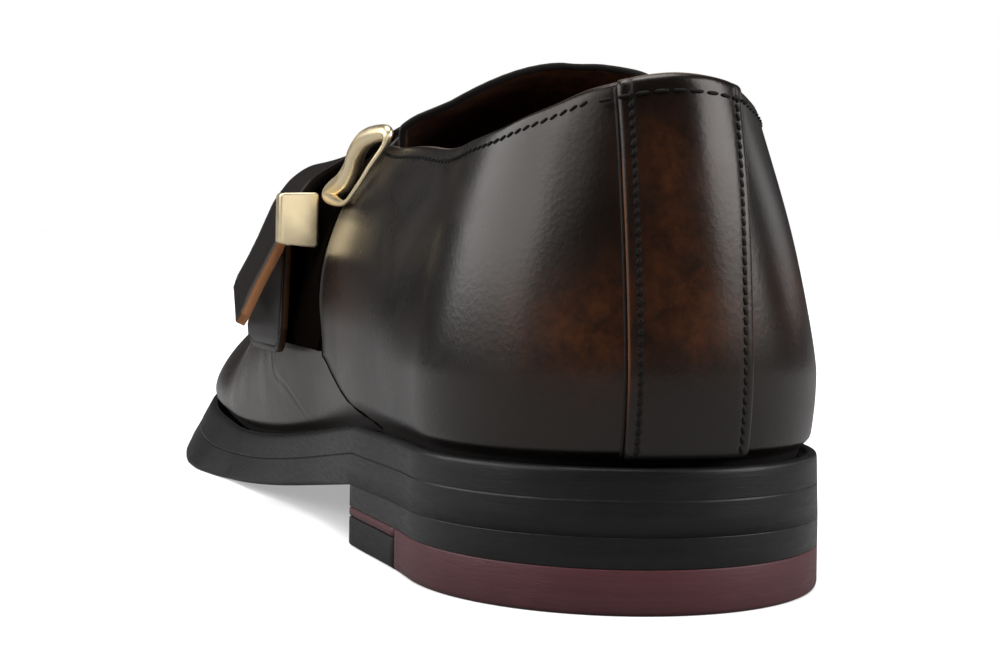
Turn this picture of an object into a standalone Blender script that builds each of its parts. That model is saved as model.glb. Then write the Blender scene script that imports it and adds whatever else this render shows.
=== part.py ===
"""Left monk-strap shoe, built from its named pieces.

Blender script: metres, +Z up, toe along +Y, inner side of the foot along +X.
All shapes are worked out in millimetres in the shoe's own axes, with the back of the
heel at y = 0 and the ground at z = 0, and are centred over the origin at the end.
"""
import math

import bpy
import numpy as np

MM = 0.001
OUTER = -1.0                     # side of the foot: the little-toe side
INNER = 1.0                      # the big-toe side
QUARTER_TURN = math.pi / 2
SHARP_ANGLE = math.radians(35)

# ---- driving dimensions, millimetres --------------------------------------
LENGTH = 298.0                   # outsole, heel to toe
HEEL_HALF_WIDTH = 33.1
HEEL_ARC_DEPTH = 38.5            # y where the round back of the heel ends
BALL_Y = 200.0                   # y where the round front of the toe starts
HEEL_BREAST_Y = 74.0             # straight front face of the heel
TIP_SHIFT = 7.0                  # toe tip lies this far to the inner side
TOE_FULLNESS = 2.3               # exponent of the toe curve, 2 is an ellipse
HEEL_SEAT_Z = 11.4               # underside of the outsole at the back
SHANK_Z = 10.6                   # underside of the outsole at the breast
TREAD_START, TREAD_END = 176.0, 200.0
TOE_SPRING = 9.3
OUTSOLE_THICK = 5.4
MIDSOLE_THICK = 4.3
LIFT_THICK = 6.8
LIFT_SKIN = 1.7                  # burgundy left above the insert
INSERT_REAR_Y = 47.0
INSOLE_THICK = 2.8
WALL = 1.7                       # vamp leather with its lining
QUARTER_STEP = 1.2               # quarters stand this far above the vamp
GAP = 0.3                        # running gap between solids

U_HEEL, U_BALL = 0.2, 0.7        # share of a side's outline at those two y
Y_PER_U = (BALL_Y - HEEL_ARC_DEPTH) / (U_BALL - U_HEEL)

# Half widths of the tread outline between heel arc and toe arc.
OUTLINE = {
    "y": (38.5, 74.0, 100.0, 128.0, 160.0, 185.0, 200.0),
    "outer": (33.1, 35.6, 36.6, 39.6, 44.2, 47.0, 47.4),
    "inner": (33.1, 34.2, 30.6, 28.4, 35.0, 44.6, 47.6),
}
# How far each contour lies inside the tread outline, along one side.
INSETS = {
    "u": (0.0, 0.2, 0.31, 0.477, 0.576, 0.7, 0.85, 1.0),
    "flare": (0.3, 0.3, 0.6, 1.6, 3.6, 5.8, 6.0, 4.4),
    "feather": (4.0, 2.7, 2.9, 3.2, 5.2, 7.6, 7.8, 7.0),
    "wide": (2.2, 1.7, 2.2, 2.0, 4.0, 6.6, 6.8, 5.6),
}
# Ridge of the last, seen from the side. It is only virtual behind the throat.
RIDGE = {
    "y": (38.5, 74.0, 94.0, 110.0, 128.0, 142.0, 160.0, 181.0, 200.0, 225.0, 250.0, 268.0),
    "z": (114.0, 96.0, 89.0, 83.6, 77.0, 73.0, 67.6, 60.8, 55.0, 48.4, 43.6, 40.6),
    "x": (0.0, 5.0, 7.0, 6.5, 5.0, 4.0, 3.5, 3.0, 3.0, 3.5, 5.0, 6.0),
}
# Form of the wall between its widest line and the ridge: rise of the widest line
# over the sole, exponent of the height, and exponent of the width on either side.
SECTION = {
    "u": (0.0, 0.1, 0.2, 0.31, 0.37, 0.477, 0.576, 0.7, 0.85, 1.0),
    "rise": (14.0, 13.0, 12.0, 13.0, 14.0, 13.0, 9.0, 4.5, 3.5, 4.0),
    "lean": (1.3, 1.3, 1.3, 2.2, 2.8, 2.1, 1.9, 1.5, 1.6, 2.2),
    "outer": (0.27, 0.46, 0.65, 0.60, 0.60, 0.50, 0.52, 0.75, 0.85, 0.56),
    "inner": (0.27, 0.62, 0.80, 0.68, 0.60, 0.50, 0.52, 0.58, 0.60, 0.54),
}
# Upper edge of the wall: collar, then the throat line up to the ridge.
TOPLINE = {
    "u": (0.0, 0.058, 0.092, 0.118, 0.145, 0.2, 0.28, 0.31, 0.335, 0.36, 0.406, 0.446),
    "outer": (79.3, 77.2, 74.8, 72.9, 71.0, 69.2, 68.1, 68.7, 70.6, 72.6, 75.6, 77.0),
    "inner": (79.3, 78.0, 76.6, 75.4, 74.4, 73.2, 72.8, 73.6, 74.8, 76.0, 77.2, 77.8),
}
U_THROAT = 0.477                 # here the throat line meets the ridge
# Front edge of the quarters: how far it bows forward, by height along the wall.
QUARTER_FRONT_U = 0.3223         # y = 78 at the collar and at the sole
QUARTER_BOW = {
    "level": (-1.0, -0.55, 0.0, 0.16, 0.30, 0.45, 0.62),
    "forward": (2.0, 14.0, 26.0, 28.0, 24.0, 13.0, 0.0),
}


def smooth(table, column, at):
    """Value of a table's column between its rows, along a monotone cubic."""
    xs = np.array(next(iter(table.values())), float)
    ys = np.array(table[column], float)
    at = min(max(at, xs[0]), xs[-1])
    steps = np.diff(xs)
    rise = np.diff(ys) / steps
    slopes = np.zeros(len(xs))
    for i in range(1, len(xs) - 1):
        if rise[i - 1] * rise[i] > 0:
            slopes[i] = 2 / (1 / rise[i - 1] + 1 / rise[i])
    i = min(int(np.searchsorted(xs, at, side="right")) - 1, len(steps) - 1)
    t = (at - xs[i]) / steps[i]
    return float((1 + 2 * t) * (1 - t) ** 2 * ys[i] + t * (1 - t) ** 2 * steps[i] * slopes[i]
                 + t * t * (3 - 2 * t) * ys[i + 1] - t * t * (1 - t) * steps[i] * slopes[i + 1])


def u_of_y(y):
    """Share of the side's outline at a y of its straight stretch."""
    return U_HEEL + (y - HEEL_ARC_DEPTH) / Y_PER_U


def side_name(side):
    return "outer" if side < 0 else "inner"


def outline(side, u, inset=0.0):
    """Point of the tread outline, moved inwards by the inset."""
    name = side_name(side)
    if u < U_HEEL:
        turn = u / U_HEEL * QUARTER_TURN
        x = side * (HEEL_HALF_WIDTH - inset) * math.sin(turn)
        return x, HEEL_ARC_DEPTH - (HEEL_ARC_DEPTH - inset) * math.cos(turn)
    if u <= U_BALL:
        y = HEEL_ARC_DEPTH + (u - U_HEEL) * Y_PER_U
        return side * (smooth(OUTLINE, name, y) - inset), y
    turn = (u - U_BALL) / (1 - U_BALL) * QUARTER_TURN
    reach = (LENGTH - inset - BALL_Y) * math.sin(turn) ** (2 / TOE_FULLNESS)
    half = (smooth(OUTLINE, name, BALL_Y) - inset) * math.cos(turn)
    return TIP_SHIFT * (1 - math.cos(turn)) + side * half, BALL_Y + reach


def sole_bottom(y):
    """Height of the outsole's underside."""
    if y <= HEEL_BREAST_Y:
        return HEEL_SEAT_Z + (SHANK_Z - HEEL_SEAT_Z) * y / HEEL_BREAST_Y
    if y <= TREAD_START:
        t = (y - HEEL_BREAST_Y) / (TREAD_START - HEEL_BREAST_Y)
        return SHANK_Z * (1 - t) ** 1.9 * (1 + 0.66 * t)
    if y <= TREAD_END:
        return 0.0
    return TOE_SPRING * ((y - TREAD_END) / (LENGTH - TREAD_END)) ** 2


def outsole_top(y):
    return sole_bottom(y) + OUTSOLE_THICK


def midsole_bottom(y):
    return outsole_top(y) + GAP


def sole_top(y):
    return midsole_bottom(y) + MIDSOLE_THICK


def apex(u):
    """Point of the ridge that a rib of the last runs up to."""
    if u < U_HEEL:
        y = HEEL_ARC_DEPTH
    elif u <= U_BALL:
        y = HEEL_ARC_DEPTH + (u - U_HEEL) * Y_PER_U
    else:
        turn = (u - U_BALL) / (1 - U_BALL) * QUARTER_TURN
        y = BALL_Y + (RIDGE["y"][-1] - BALL_Y) * math.sin(turn) ** (2 / TOE_FULLNESS)
    return smooth(RIDGE, "x", y), y, smooth(RIDGE, "z", y)


def wide_height(side, u):
    """Height of the wall's widest line."""
    y = outline(side, u, smooth(INSETS, "wide", u))[1]
    return sole_top(y) + smooth(SECTION, "rise", u)


def last_point(side, u, level):
    """Point of the last: level -1 at the feather edge, 0 at the widest, 1 on the ridge."""
    wide_x, wide_y = outline(side, u, smooth(INSETS, "wide", u))
    wide_z = wide_height(side, u)
    if level <= 0:
        foot_x, foot_y = outline(side, u, smooth(INSETS, "feather", u))
        foot_z = sole_top(foot_y) + GAP
        share = 1 - level * level
        up = 1 + level
        return np.array((foot_x + (wide_x - foot_x) * share,
                         foot_y + (wide_y - foot_y) * share,
                         foot_z + (wide_z - foot_z) * up))
    top_x, top_y, top_z = apex(u)
    turn = level * QUARTER_TURN
    rise = math.sin(turn) ** (2 / smooth(SECTION, "lean", u))
    reach = abs(math.cos(turn)) ** (2 * smooth(SECTION, side_name(side), u))
    if level >= 1:
        reach = 0.0
    return np.array((top_x + (wide_x - top_x) * reach,
                     top_y + (wide_y - top_y) * reach,
                     wide_z + (top_z - wide_z) * rise))


def level_at(side, u, z):
    """Level of the rib's point at a height above its widest line."""
    wide_z = wide_height(side, u)
    share = (z - wide_z) / (apex(u)[2] - wide_z)
    share = min(max(share, 0.0), 1.0)
    return math.asin(share ** (smooth(SECTION, "lean", u) / 2)) / QUARTER_TURN


def top_level(side, u):
    """Level at which the wall ends: the collar, the throat line or the ridge."""
    if u >= U_THROAT:
        return 1.0
    name = side_name(side)
    table = {"u": TOPLINE["u"] + (U_THROAT,), name: TOPLINE[name] + (apex(U_THROAT)[2],)}
    return level_at(side, u, smooth(table, name, u))


# ---- mesh helpers ----------------------------------------------------------
def new_object(name, points, faces, collection):
    """Mesh object from points in millimetres, faces turned outwards."""
    mesh = bpy.data.meshes.new(name)
    mesh.from_pydata([tuple(float(c) * MM for c in p) for p in points], [], faces)
    mesh.validate()
    mesh.shade_smooth()
    mesh.set_sharp_from_angle(angle=SHARP_ANGLE)
    mesh.materials.append(make_material(name))
    collection.objects.link(bpy.data.objects.new(name, mesh))


def weld(points, faces, near=0.01):
    """Join points that lie together and drop the faces that vanish with it."""
    seen, index, kept = {}, [], []
    for p in points:
        key = tuple(int(round(c / near)) for c in p)
        if key not in seen:
            seen[key] = len(kept)
            kept.append(p)
        index.append(seen[key])
    result = []
    for face in faces:
        ring = []
        for v in face:
            if index[v] not in ring:
                ring.append(index[v])
        if len(ring) > 2:
            result.append(tuple(ring))
    return np.array(kept), result, index


def grid_faces(rows, columns, closed=False):
    """Quads of a grid whose point number is row * columns + column."""
    faces = []
    for r in range(rows if closed else rows - 1):
        s = (r + 1) % rows
        for c in range(columns - 1):
            faces.append((r * columns + c, r * columns + c + 1,
                          s * columns + c + 1, s * columns + c))
    return faces


def point_normals(points, faces):
    """Area-weighted normals of a surface."""
    normals = np.zeros_like(points)
    for face in faces:
        ring = points[list(face)]
        flow = np.zeros(3)
        for a, b in zip(ring, np.roll(ring, -1, axis=0)):
            flow += np.cross(a - ring[0], b - ring[0])
        normals[list(face)] += flow
    return normals / np.linalg.norm(normals, axis=1)[:, None]


def thicken(points, faces, low, high):
    """Closed solid between two offsets of an open surface."""
    points = np.array(points, float)
    normals = point_normals(points, faces)
    count = len(points)
    low = np.broadcast_to(np.asarray(low, float), (count,))
    high = np.broadcast_to(np.asarray(high, float), (count,))
    both = np.vstack((points + normals * high[:, None], points + normals * low[:, None]))
    solid = [tuple(face) for face in faces]
    solid += [tuple(v + count for v in reversed(face)) for face in faces]
    edges = {}
    for face in faces:
        for a, b in zip(face, face[1:] + face[:1]):
            edges[(a, b)] = True
    for a, b in edges:
        if (b, a) not in edges:
            solid.append((b, a, a + count, b + count))
    return both, solid


def ring_loft(rings):
    """Closed solid through rings of equal count, its ends capped."""
    count = len(rings[0])
    points = [p for ring in rings for p in ring]
    faces = []
    for r in range(len(rings) - 1):
        for c in range(count):
            d = (c + 1) % count
            faces.append((r * count + c, r * count + d,
                          (r + 1) * count + d, (r + 1) * count + c))
    faces.append(tuple(reversed(range(count))))
    faces.append(tuple((len(rings) - 1) * count + c for c in range(count)))
    points, faces, _ = weld(points, faces)
    return points, faces


def outward(points, faces):
    """The same faces, turned round if they enclose a negative volume."""
    volume = 0.0
    for face in faces:
        for i in range(1, len(face) - 1):
            a, b, c = points[face[0]], points[face[i]], points[face[i + 1]]
            volume += np.dot(a, np.cross(b, c))
    return faces if volume > 0 else [tuple(reversed(face)) for face in faces]


# ---- sole ------------------------------------------------------------------
def spread(start, end, count):
    return [start + (end - start) * i / (count - 1) for i in range(count)]


HEEL_US = spread(0.0, U_HEEL, 11)
MIDDLE_US = spread(U_HEEL, U_BALL, 19)
TOE_US = spread(U_BALL, 1.0, 13)
ALL_US = HEEL_US + MIDDLE_US[1:] + TOE_US[1:]


def plate_ring(u, bottom, top, bottom_inset, top_inset):
    """Cross-section of a plate: its two edges at the foot and at the top."""
    ring = []
    for side, order in ((OUTER, 1), (INNER, -1)):
        low = outline(side, u, bottom_inset)
        high = outline(side, u, top_inset)
        pair = [(low[0], low[1], bottom(low[1])), (high[0], high[1], top(high[1]))]
        ring += pair[::order]
    return ring


def plate(name, us, bottom, top, foot_share, head_share, collection):
    """Plate whose edge follows the flare, between two shares of its inset."""
    rings = []
    for u in us:
        flare = smooth(INSETS, "flare", u)
        rings.append(plate_ring(u, bottom, top, flare * foot_share, flare * head_share))
    points, faces = ring_loft(rings)
    return new_object(name, points, outward(points, faces), collection)


def heel_ring(u, low_z, high):
    return plate_ring(u, lambda y: low_z, high, 0.0, 0.0)


def heel_piece(name, sections, collection):
    """Heel layer from sections of (u, lower height, function of the upper height)."""
    points, faces = ring_loft([heel_ring(*section) for section in sections])
    return new_object(name, points, outward(points, faces), collection)


def make_sole(collection):
    plate("outsole", ALL_US, sole_bottom, outsole_top, 0.0, 0.52, collection)
    plate("midsole", ALL_US, midsole_bottom, sole_top, 0.62, 1.0, collection)
    breast_u = u_of_y(HEEL_BREAST_Y)
    insert_u = u_of_y(INSERT_REAR_Y)
    heel_us = HEEL_US + spread(U_HEEL, breast_u, 5)[1:]
    heel_piece("heel_block", [(u, LIFT_THICK + GAP, lambda y: sole_bottom(y) - GAP)
                              for u in heel_us], collection)
    insert_top = LIFT_THICK - LIFT_SKIN - GAP
    rear = HEEL_US + [insert_u]
    front = [insert_u] + spread(insert_u, breast_u, 4)[1:]
    sections = [(u, 0.0, lambda y: LIFT_THICK) for u in rear]
    sections += [(u, LIFT_THICK - LIFT_SKIN, lambda y: LIFT_THICK) for u in front]
    heel_piece("heel_lift", sections, collection)
    gap_u = GAP / Y_PER_U
    insert = [insert_u + gap_u] + front[2:]
    heel_piece("heel_lift_insert", [(u, 0.0, lambda y: insert_top) for u in insert],
               collection)


def make_insole(collection):
    """Footbed that follows the top of the sole inside the wall."""
    clear = WALL + 0.7
    rings = []
    for u in ALL_US:
        inset = smooth(INSETS, "feather", u) + clear
        rings.append(plate_ring(u, lambda y: sole_top(y) + GAP,
                                lambda y: sole_top(y) + GAP + INSOLE_THICK, inset, inset))
    points, faces = ring_loft(rings)
    new_object("insole", points, outward(points, faces), collection)


# ---- upper -----------------------------------------------------------------
FOOT_LEVELS = (-1.0, -0.55, 0.0)
WALL_STEPS = 9


def bowed(u, level):
    """Place along the side of a rib's point: ribs bow with the quarters' front edge."""
    if u <= U_HEEL or u >= U_BALL:
        return u
    edge = QUARTER_FRONT_U
    if u < edge:
        share = (u - U_HEEL) / (edge - U_HEEL)
    else:
        share = (U_BALL - u) / (U_BALL - edge)
    share = share * share * (3 - 2 * share)
    return u + share * smooth(QUARTER_BOW, "forward", level) / Y_PER_U


def rib_levels(side, u):
    top = top_level(side, u)
    return list(FOOT_LEVELS) + [top * i / WALL_STEPS for i in range(1, WALL_STEPS + 1)]


def upper_rib(side, u):
    return [last_point(side, bowed(u, level), level) for level in rib_levels(side, u)]


def upper_us():
    """Ribs of one side: a close pair at the quarters' front edge, more at the throat."""
    sliver = 0.9 / Y_PER_U
    us = spread(0.0, U_HEEL, 9)
    us += spread(U_HEEL, QUARTER_FRONT_U, 8)[1:]
    us += [QUARTER_FRONT_U + sliver]
    us += spread(QUARTER_FRONT_U + sliver, U_THROAT, 9)[1:]
    us += spread(U_THROAT, U_BALL, 9)[1:]
    us += spread(U_BALL, 1.0, 10)[1:]
    return us


def make_upper(collection):
    """Vamp and quarters as one hollow wall, the quarters a step above the vamp."""
    us = upper_us()
    sides = [(OUTER, u) for u in reversed(us)] + [(INNER, u) for u in us[1:-1]]
    rows = [upper_rib(side, u) for side, u in sides]
    columns = len(rows[0])
    flat = [p for row in rows for p in row]
    steps = [QUARTER_STEP if u <= QUARTER_FRONT_U + 1e-6 else 0.0
             for _, u in sides for _ in range(columns)]
    points, faces, index = weld(flat, grid_faces(len(rows), columns, closed=True))
    high = np.zeros(len(points))
    for place, step in zip(index, steps):
        high[place] = max(high[place], step)
    low = np.full(len(points), -WALL)
    faces = outward_from_axis(points, faces)
    points, faces = thicken(points, faces, low, high)
    new_object("upper", points, outward(points, faces), collection)


def outward_from_axis(points, faces):
    """Turn a wall's faces so that their normals point away from the foot."""
    normals = point_normals(points, faces)
    centre = np.array((0.0, LENGTH / 2, 20.0))
    if np.sum(normals * (points - centre)) > 0:
        return faces
    return [tuple(reversed(face)) for face in faces]


STAY_HALF = 9.2
STAY_CENTRE = 0.8
STAY_THICK = 1.0
STAY_CLEAR = 0.42                # over the quarters, whose facets are coarser


def make_back_stay(collection):
    """Strip up the back of the heel, from the sole to the collar."""
    rows = []
    for share in spread(-1.0, 1.0, 9):
        row = []
        for k in range(11):
            x = STAY_CENTRE + share * STAY_HALF
            side = INNER if x > 0 else OUTER
            u = 0.0
            for _ in range(12):
                level = -0.9 + (top_level(side, u) + 0.9) * k / 10
                here = abs(last_point(side, max(u, 1e-4), level)[0])
                u = max(u, 1e-4) * abs(x) / max(here, 1e-6)
            row.append(last_point(side, u, level))
        rows.append(row)
    low = QUARTER_STEP + STAY_CLEAR
    sheet(rows, "back_stay", low, low + STAY_THICK, collection)


def sheet(rows, name, low, high, collection):
    """Sheet laid on the last, its offsets measured away from the foot."""
    columns = len(rows[0])
    points, faces, _ = weld([p for row in rows for p in row], grid_faces(len(rows), columns))
    faces = outward_from_axis(points, faces)
    points, faces = thicken(points, faces, low, high)
    new_object(name, points, outward(points, faces), collection)


TONGUE_THICK = 1.8
TONGUE_CLEAR = 0.75              # under the wall
TONGUE_BACK_Y, TONGUE_FRONT_Y = 94.0, 140.0
TONGUE_CORNER_DROP = 13.0        # its corners lie this far behind its middle
TONGUE_LAP = 8.0                 # tucked under the throat line


def make_tongue(collection):
    """Tongue under the throat line, its top edge an arch over the instep."""
    rows = []
    for r in range(10):
        row = []
        for t in spread(-1.0, 1.0, 15):
            side = OUTER if t < 0 else INNER
            back = TONGUE_BACK_Y - TONGUE_CORNER_DROP * t * t
            y = back + (TONGUE_FRONT_Y - back) * r / 9
            u = u_of_y(y)
            edge = apex(u)[2] if u >= U_THROAT else last_point(side, u, top_level(side, u))[2]
            lap = level_at(side, u, edge - TONGUE_LAP)
            row.append(last_point(side, u, 1 - (1 - lap) * abs(t)))
        rows.append(row)
    high = -WALL - TONGUE_CLEAR
    sheet(rows, "tongue", high - TONGUE_THICK, high, collection)


# ---- fastening -------------------------------------------------------------
STRAP_BACK_Y, STRAP_FRONT_Y = 119.5, 146.0
STRAP_THICK = 2.0
STRAP_BASE_Z = 40.0              # end of the strap on the inner side
STRAP_SWEEP = 12.5               # its inner end runs back to meet the quarter
STRAP_REACH_Z = 60.0             # lowest height where it may leave the instep
STRAP_END_ROUND = 2.5
STRAP_SHORT = 7.4                # its front edge ends this much higher up
# Outer face of the strap from the bar to its free end.
STRAP_FREE = {
    "x": (-31.1, -34.7, -36.7, -38.6, -40.0, -41.8, -43.8, -46.4, -49.7),
    "z": (67.0, 64.6, 62.3, 59.5, 56.4, 52.2, 48.0, 43.0, 35.6),
}
TAUT_COUNT = 8                   # points of the strap between the ridge and the bar


def strap_path(y):
    """Outer face of the strap across the shoe, inner side first, as x, y, z."""
    points = []
    for share in spread(1.0, 0.0, 10):
        u = u_of_y(y - STRAP_SWEEP * share * share)
        start = level_at(INNER, u, STRAP_BASE_Z)
        points.append(last_point(INNER, u, start + (1 - start) * (1 - share)))
    ridge = len(points) - 1
    u = u_of_y(y)
    low = level_at(OUTER, u, STRAP_REACH_Z)
    points += [last_point(OUTER, u, level) for level in spread(1.0, low, 16)[1:]]
    points = np.array(points)
    ahead = np.gradient(points[:, [0, 2]], axis=0)
    ahead /= np.linalg.norm(ahead, axis=1)[:, None]
    points[:, 0] += ahead[:, 1] * (GAP + STRAP_THICK)
    points[:, 2] -= ahead[:, 0] * (GAP + STRAP_THICK)
    free = np.column_stack((STRAP_FREE["x"], np.full(len(STRAP_FREE["x"]), y), STRAP_FREE["z"]))
    return np.vstack((points[:ridge], taut(points[ridge:], free[0]), free[1:]))


def taut(over, end):
    """Points of a band that follows the instep, then runs straight to the bar."""
    climb = np.arctan2(over[:, 2] - end[2], over[:, 0] - end[0])
    band = np.vstack((over[:int(np.argmax(climb)) + 1], end))
    along = np.concatenate(([0.0], np.cumsum(np.linalg.norm(np.diff(band, axis=0), axis=1))))
    stops = np.linspace(0.0, along[-1], TAUT_COUNT)
    return np.column_stack([np.interp(stops, along, band[:, axis]) for axis in range(3)])


def make_strap(collection):
    """Strap over the instep; its free end stands off the shoe below the buckle."""
    rows = []
    for y in spread(STRAP_BACK_Y, STRAP_FRONT_Y, 7):
        path = strap_path(y)
        edge = min(y - STRAP_BACK_Y, STRAP_FRONT_Y - y)
        short = max(0.0, STRAP_END_ROUND - edge)
        drop = STRAP_END_ROUND - math.sqrt(max(STRAP_END_ROUND ** 2 - short ** 2, 0.0))
        drop += STRAP_SHORT * (y - STRAP_BACK_Y) / (STRAP_FRONT_Y - STRAP_BACK_Y)
        rows.append(pulled_back(path, drop))
    sheet(rows, "strap", -STRAP_THICK, 0.0, collection)


def pulled_back(path, drop):
    """Path whose last three points are drawn back along it, the end by the drop."""
    result = np.array(path)
    for place, share in ((-1, 1.0), (-2, 0.62), (-3, 0.25)):
        back = path[place - 1] - path[place]
        result[place] = path[place] + back / np.linalg.norm(back) * drop * share
    return result


SIDE_TAB = {"front": 150.0, "foot": 31.5, "head": 60.0, "thick": 1.0}
# Outer face of the flap below the buckle, along its rear and its front edge.
FLAP_BACK_Y, FLAP_FRONT_Y = 121.0, 145.5
FLAP_THICK = 1.7
FLAP_CORNER = 5.0
FLAP = {
    "z": (29.8, 31.5, 34.5, 38.0, 42.0, 46.0, 51.0),
    "rear": (-40.0, -40.0, -40.0, -40.0, -40.0, -40.0, -40.1),
    "front": (-43.0, -43.6, -43.7, -42.7, -41.2, -40.4, -40.1),
}


def side_patch(back, front, foot, head, corner):
    """Rows of the outer side between two heights, with round lower corners."""
    rows = []
    for share in spread(0.0, 1.0, 8):
        row = []
        for k in range(7):
            z = foot + (head - foot) * k / 6
            start = back(z)
            y = start + (front - start) * share
            edge = min(y - start, front - y)
            short = max(0.0, corner - edge)
            drop = corner - math.sqrt(max(corner ** 2 - short ** 2, 0.0))
            z += drop * (1 - k / 6)
            u = u_of_y(y)
            row.append(last_point(OUTER, u, level_at(OUTER, u, z)))
        rows.append(row)
    return rows


def quarter_front_y(z):
    """y of the quarter's front edge on the outer side at a height."""
    level = 0.2
    for _ in range(8):
        u = bowed(QUARTER_FRONT_U, level)
        level = level_at(OUTER, u, z)
    return HEEL_ARC_DEPTH + (u - U_HEEL) * Y_PER_U


def make_side_tab(collection):
    """Flat tab on the outer side, in front of the quarter's edge."""
    tab = SIDE_TAB
    rows = side_patch(lambda z: quarter_front_y(z) + 1.6, tab["front"], tab["foot"],
                      tab["head"], 3.0)
    sheet(rows, "side_tab", GAP, GAP + tab["thick"], collection)


def make_flap(collection):
    """Flap that hangs from the bar beside the foot, with round lower corners."""
    rows = []
    for share in spread(0.0, 1.0, 8):
        y = FLAP_BACK_Y + (FLAP_FRONT_Y - FLAP_BACK_Y) * share
        edge = min(y - FLAP_BACK_Y, FLAP_FRONT_Y - y)
        short = max(0.0, FLAP_CORNER - edge)
        drop = FLAP_CORNER - math.sqrt(max(FLAP_CORNER ** 2 - short ** 2, 0.0))
        row = []
        for k, z in enumerate(FLAP["z"]):
            z += drop * (1 - k / (len(FLAP["z"]) - 1))
            rear, front = smooth(FLAP, "rear", z), smooth(FLAP, "front", z)
            row.append((rear + (front - rear) * share, y, z))
        rows.append(row)
    sheet(rows, "buckle_tab", -FLAP_THICK, 0.0, collection)


BAR = {"x": -35.6, "z": 55.2, "wide": 2.8, "tall": 5.2, "front": 148.5}
BAR_CAP = {"x": -38.6, "z": 56.1, "wide": 7.6, "tall": 10.2, "back": 113.4, "deep": 4.8,
           "chamfer": 1.1}
# Link between the quarter's top corner and the bar: a closed ring with a stout,
# curved outer limb and a slim limb along the quarter's front edge.
LINK = {
    "x": (-28.9, -30.6, -31.3, -31.3, -31.8, -33.0, -33.4, -32.6, -31.0, -29.3),
    "y": (80.5, 88.5, 94.5, 99.0, 103.5, 112.4, 96.5, 88.0, 83.0, 79.5),
    "z": (71.9, 71.2, 68.8, 65.8, 62.9, 59.8, 58.1, 61.6, 66.0, 69.8),
    "wide": (2.6, 3.6, 3.8, 3.8, 4.2, 3.6, 1.8, 1.6, 1.6, 1.8),
}


def chamfered(centre_x, centre_z, wide, tall, y):
    """Ring of a rectangle with cut corners, in the plane of one y."""
    cut = min(wide, tall) * 0.16
    ring = []
    for sx, sz, tall_first in ((1, 1, True), (1, -1, False), (-1, -1, True), (-1, 1, False)):
        on_tall = (centre_x + sx * (wide / 2 - cut), y, centre_z + sz * tall / 2)
        on_wide = (centre_x + sx * wide / 2, y, centre_z + sz * (tall / 2 - cut))
        ring += [on_tall, on_wide] if tall_first else [on_wide, on_tall]
    return ring


def make_bar(collection):
    """Heavy bar that the strap turns over, with a square cap at its back end."""
    cap, edge = BAR_CAP, BAR_CAP["chamfer"]
    rings = []
    for along, shrink in ((0.0, edge), (edge, 0.0), (cap["deep"], 0.0)):
        rings.append(chamfered(cap["x"], cap["z"], cap["wide"] - 2 * shrink,
                               cap["tall"] - 2 * shrink, cap["back"] + along))
    for y in (cap["back"] + cap["deep"], BAR["front"]):
        rings.append(chamfered(BAR["x"], BAR["z"], BAR["wide"], BAR["tall"], y))
    points, faces = ring_loft(rings)
    new_object("buckle_bar", points, outward(points, faces), collection)


def make_link(collection):
    """Closed ring of eight-sided bar through the link's points."""
    route = np.column_stack((LINK["x"], LINK["y"], LINK["z"]))
    count = len(route)
    ahead = np.roll(route, -1, axis=0) - np.roll(route, 1, axis=0)
    off = np.array((-0.85, -0.35, 0.4))
    points = []
    for place, direction, wide in zip(route, ahead, LINK["wide"]):
        across = np.cross(direction, off)
        across /= np.linalg.norm(across)
        lift = np.cross(across, direction)
        lift /= np.linalg.norm(lift)
        for turn in range(8):
            angle = (turn + 0.5) * math.pi / 4
            points.append(place + wide / 2 * (across * math.cos(angle)
                                              + 0.85 * lift * math.sin(angle)))
    faces = []
    for r in range(count):
        s = (r + 1) % count
        for c in range(8):
            d = (c + 1) % 8
            faces.append((r * 8 + c, r * 8 + d, s * 8 + d, s * 8 + c))
    points = np.array(points)
    new_object("buckle_link", points, outward(points, faces), collection)


# ---- materials and assembly ------------------------------------------------
BURNISHED = ((0.045, 0.024, 0.016), 0.32, 0.0)
DARK_LEATHER = ((0.020, 0.013, 0.011), 0.36, 0.0)
BROWN_LINING = ((0.16, 0.075, 0.04), 0.6, 0.0)
BLACK_SOLE = ((0.012, 0.012, 0.013), 0.42, 0.0)
BURGUNDY = ((0.085, 0.014, 0.020), 0.45, 0.0)
PALE_GOLD = ((0.83, 0.68, 0.40), 0.18, 1.0)
# Colour, roughness and metallic value of each piece.
FINISHES = {
    "outsole": BLACK_SOLE,
    "midsole": BLACK_SOLE,
    "heel_block": BLACK_SOLE,
    "heel_lift": BURGUNDY,
    "heel_lift_insert": BLACK_SOLE,
    "insole": BROWN_LINING,
    "upper": BURNISHED,
    "back_stay": BURNISHED,
    "tongue": DARK_LEATHER,
    "side_tab": DARK_LEATHER,
    "buckle_tab": DARK_LEATHER,
    "strap": DARK_LEATHER,
    "buckle_bar": PALE_GOLD,
    "buckle_link": PALE_GOLD,
}


def make_material(name):
    colour, roughness, metallic = FINISHES[name]
    material = bpy.data.materials.new(name)
    material.use_nodes = True
    shader = material.node_tree.nodes["Principled BSDF"]
    shader.inputs["Base Color"].default_value = (*colour, 1.0)
    shader.inputs["Roughness"].default_value = roughness
    shader.inputs["Metallic"].default_value = metallic
    return material


def hang_on_root(collection):
    """Parent every piece to an empty that puts the footprint's middle on the origin."""
    pieces = list(collection.objects)
    points = [v.co for obj in pieces for v in obj.data.vertices]
    middle = [(min(p[i] for p in points) + max(p[i] for p in points)) / 2 for i in range(2)]
    root = bpy.data.objects.new("shoe_root", None)
    root.location = (-middle[0], -middle[1], 0.0)
    collection.objects.link(root)
    for obj in pieces:
        obj.parent = root


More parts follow.
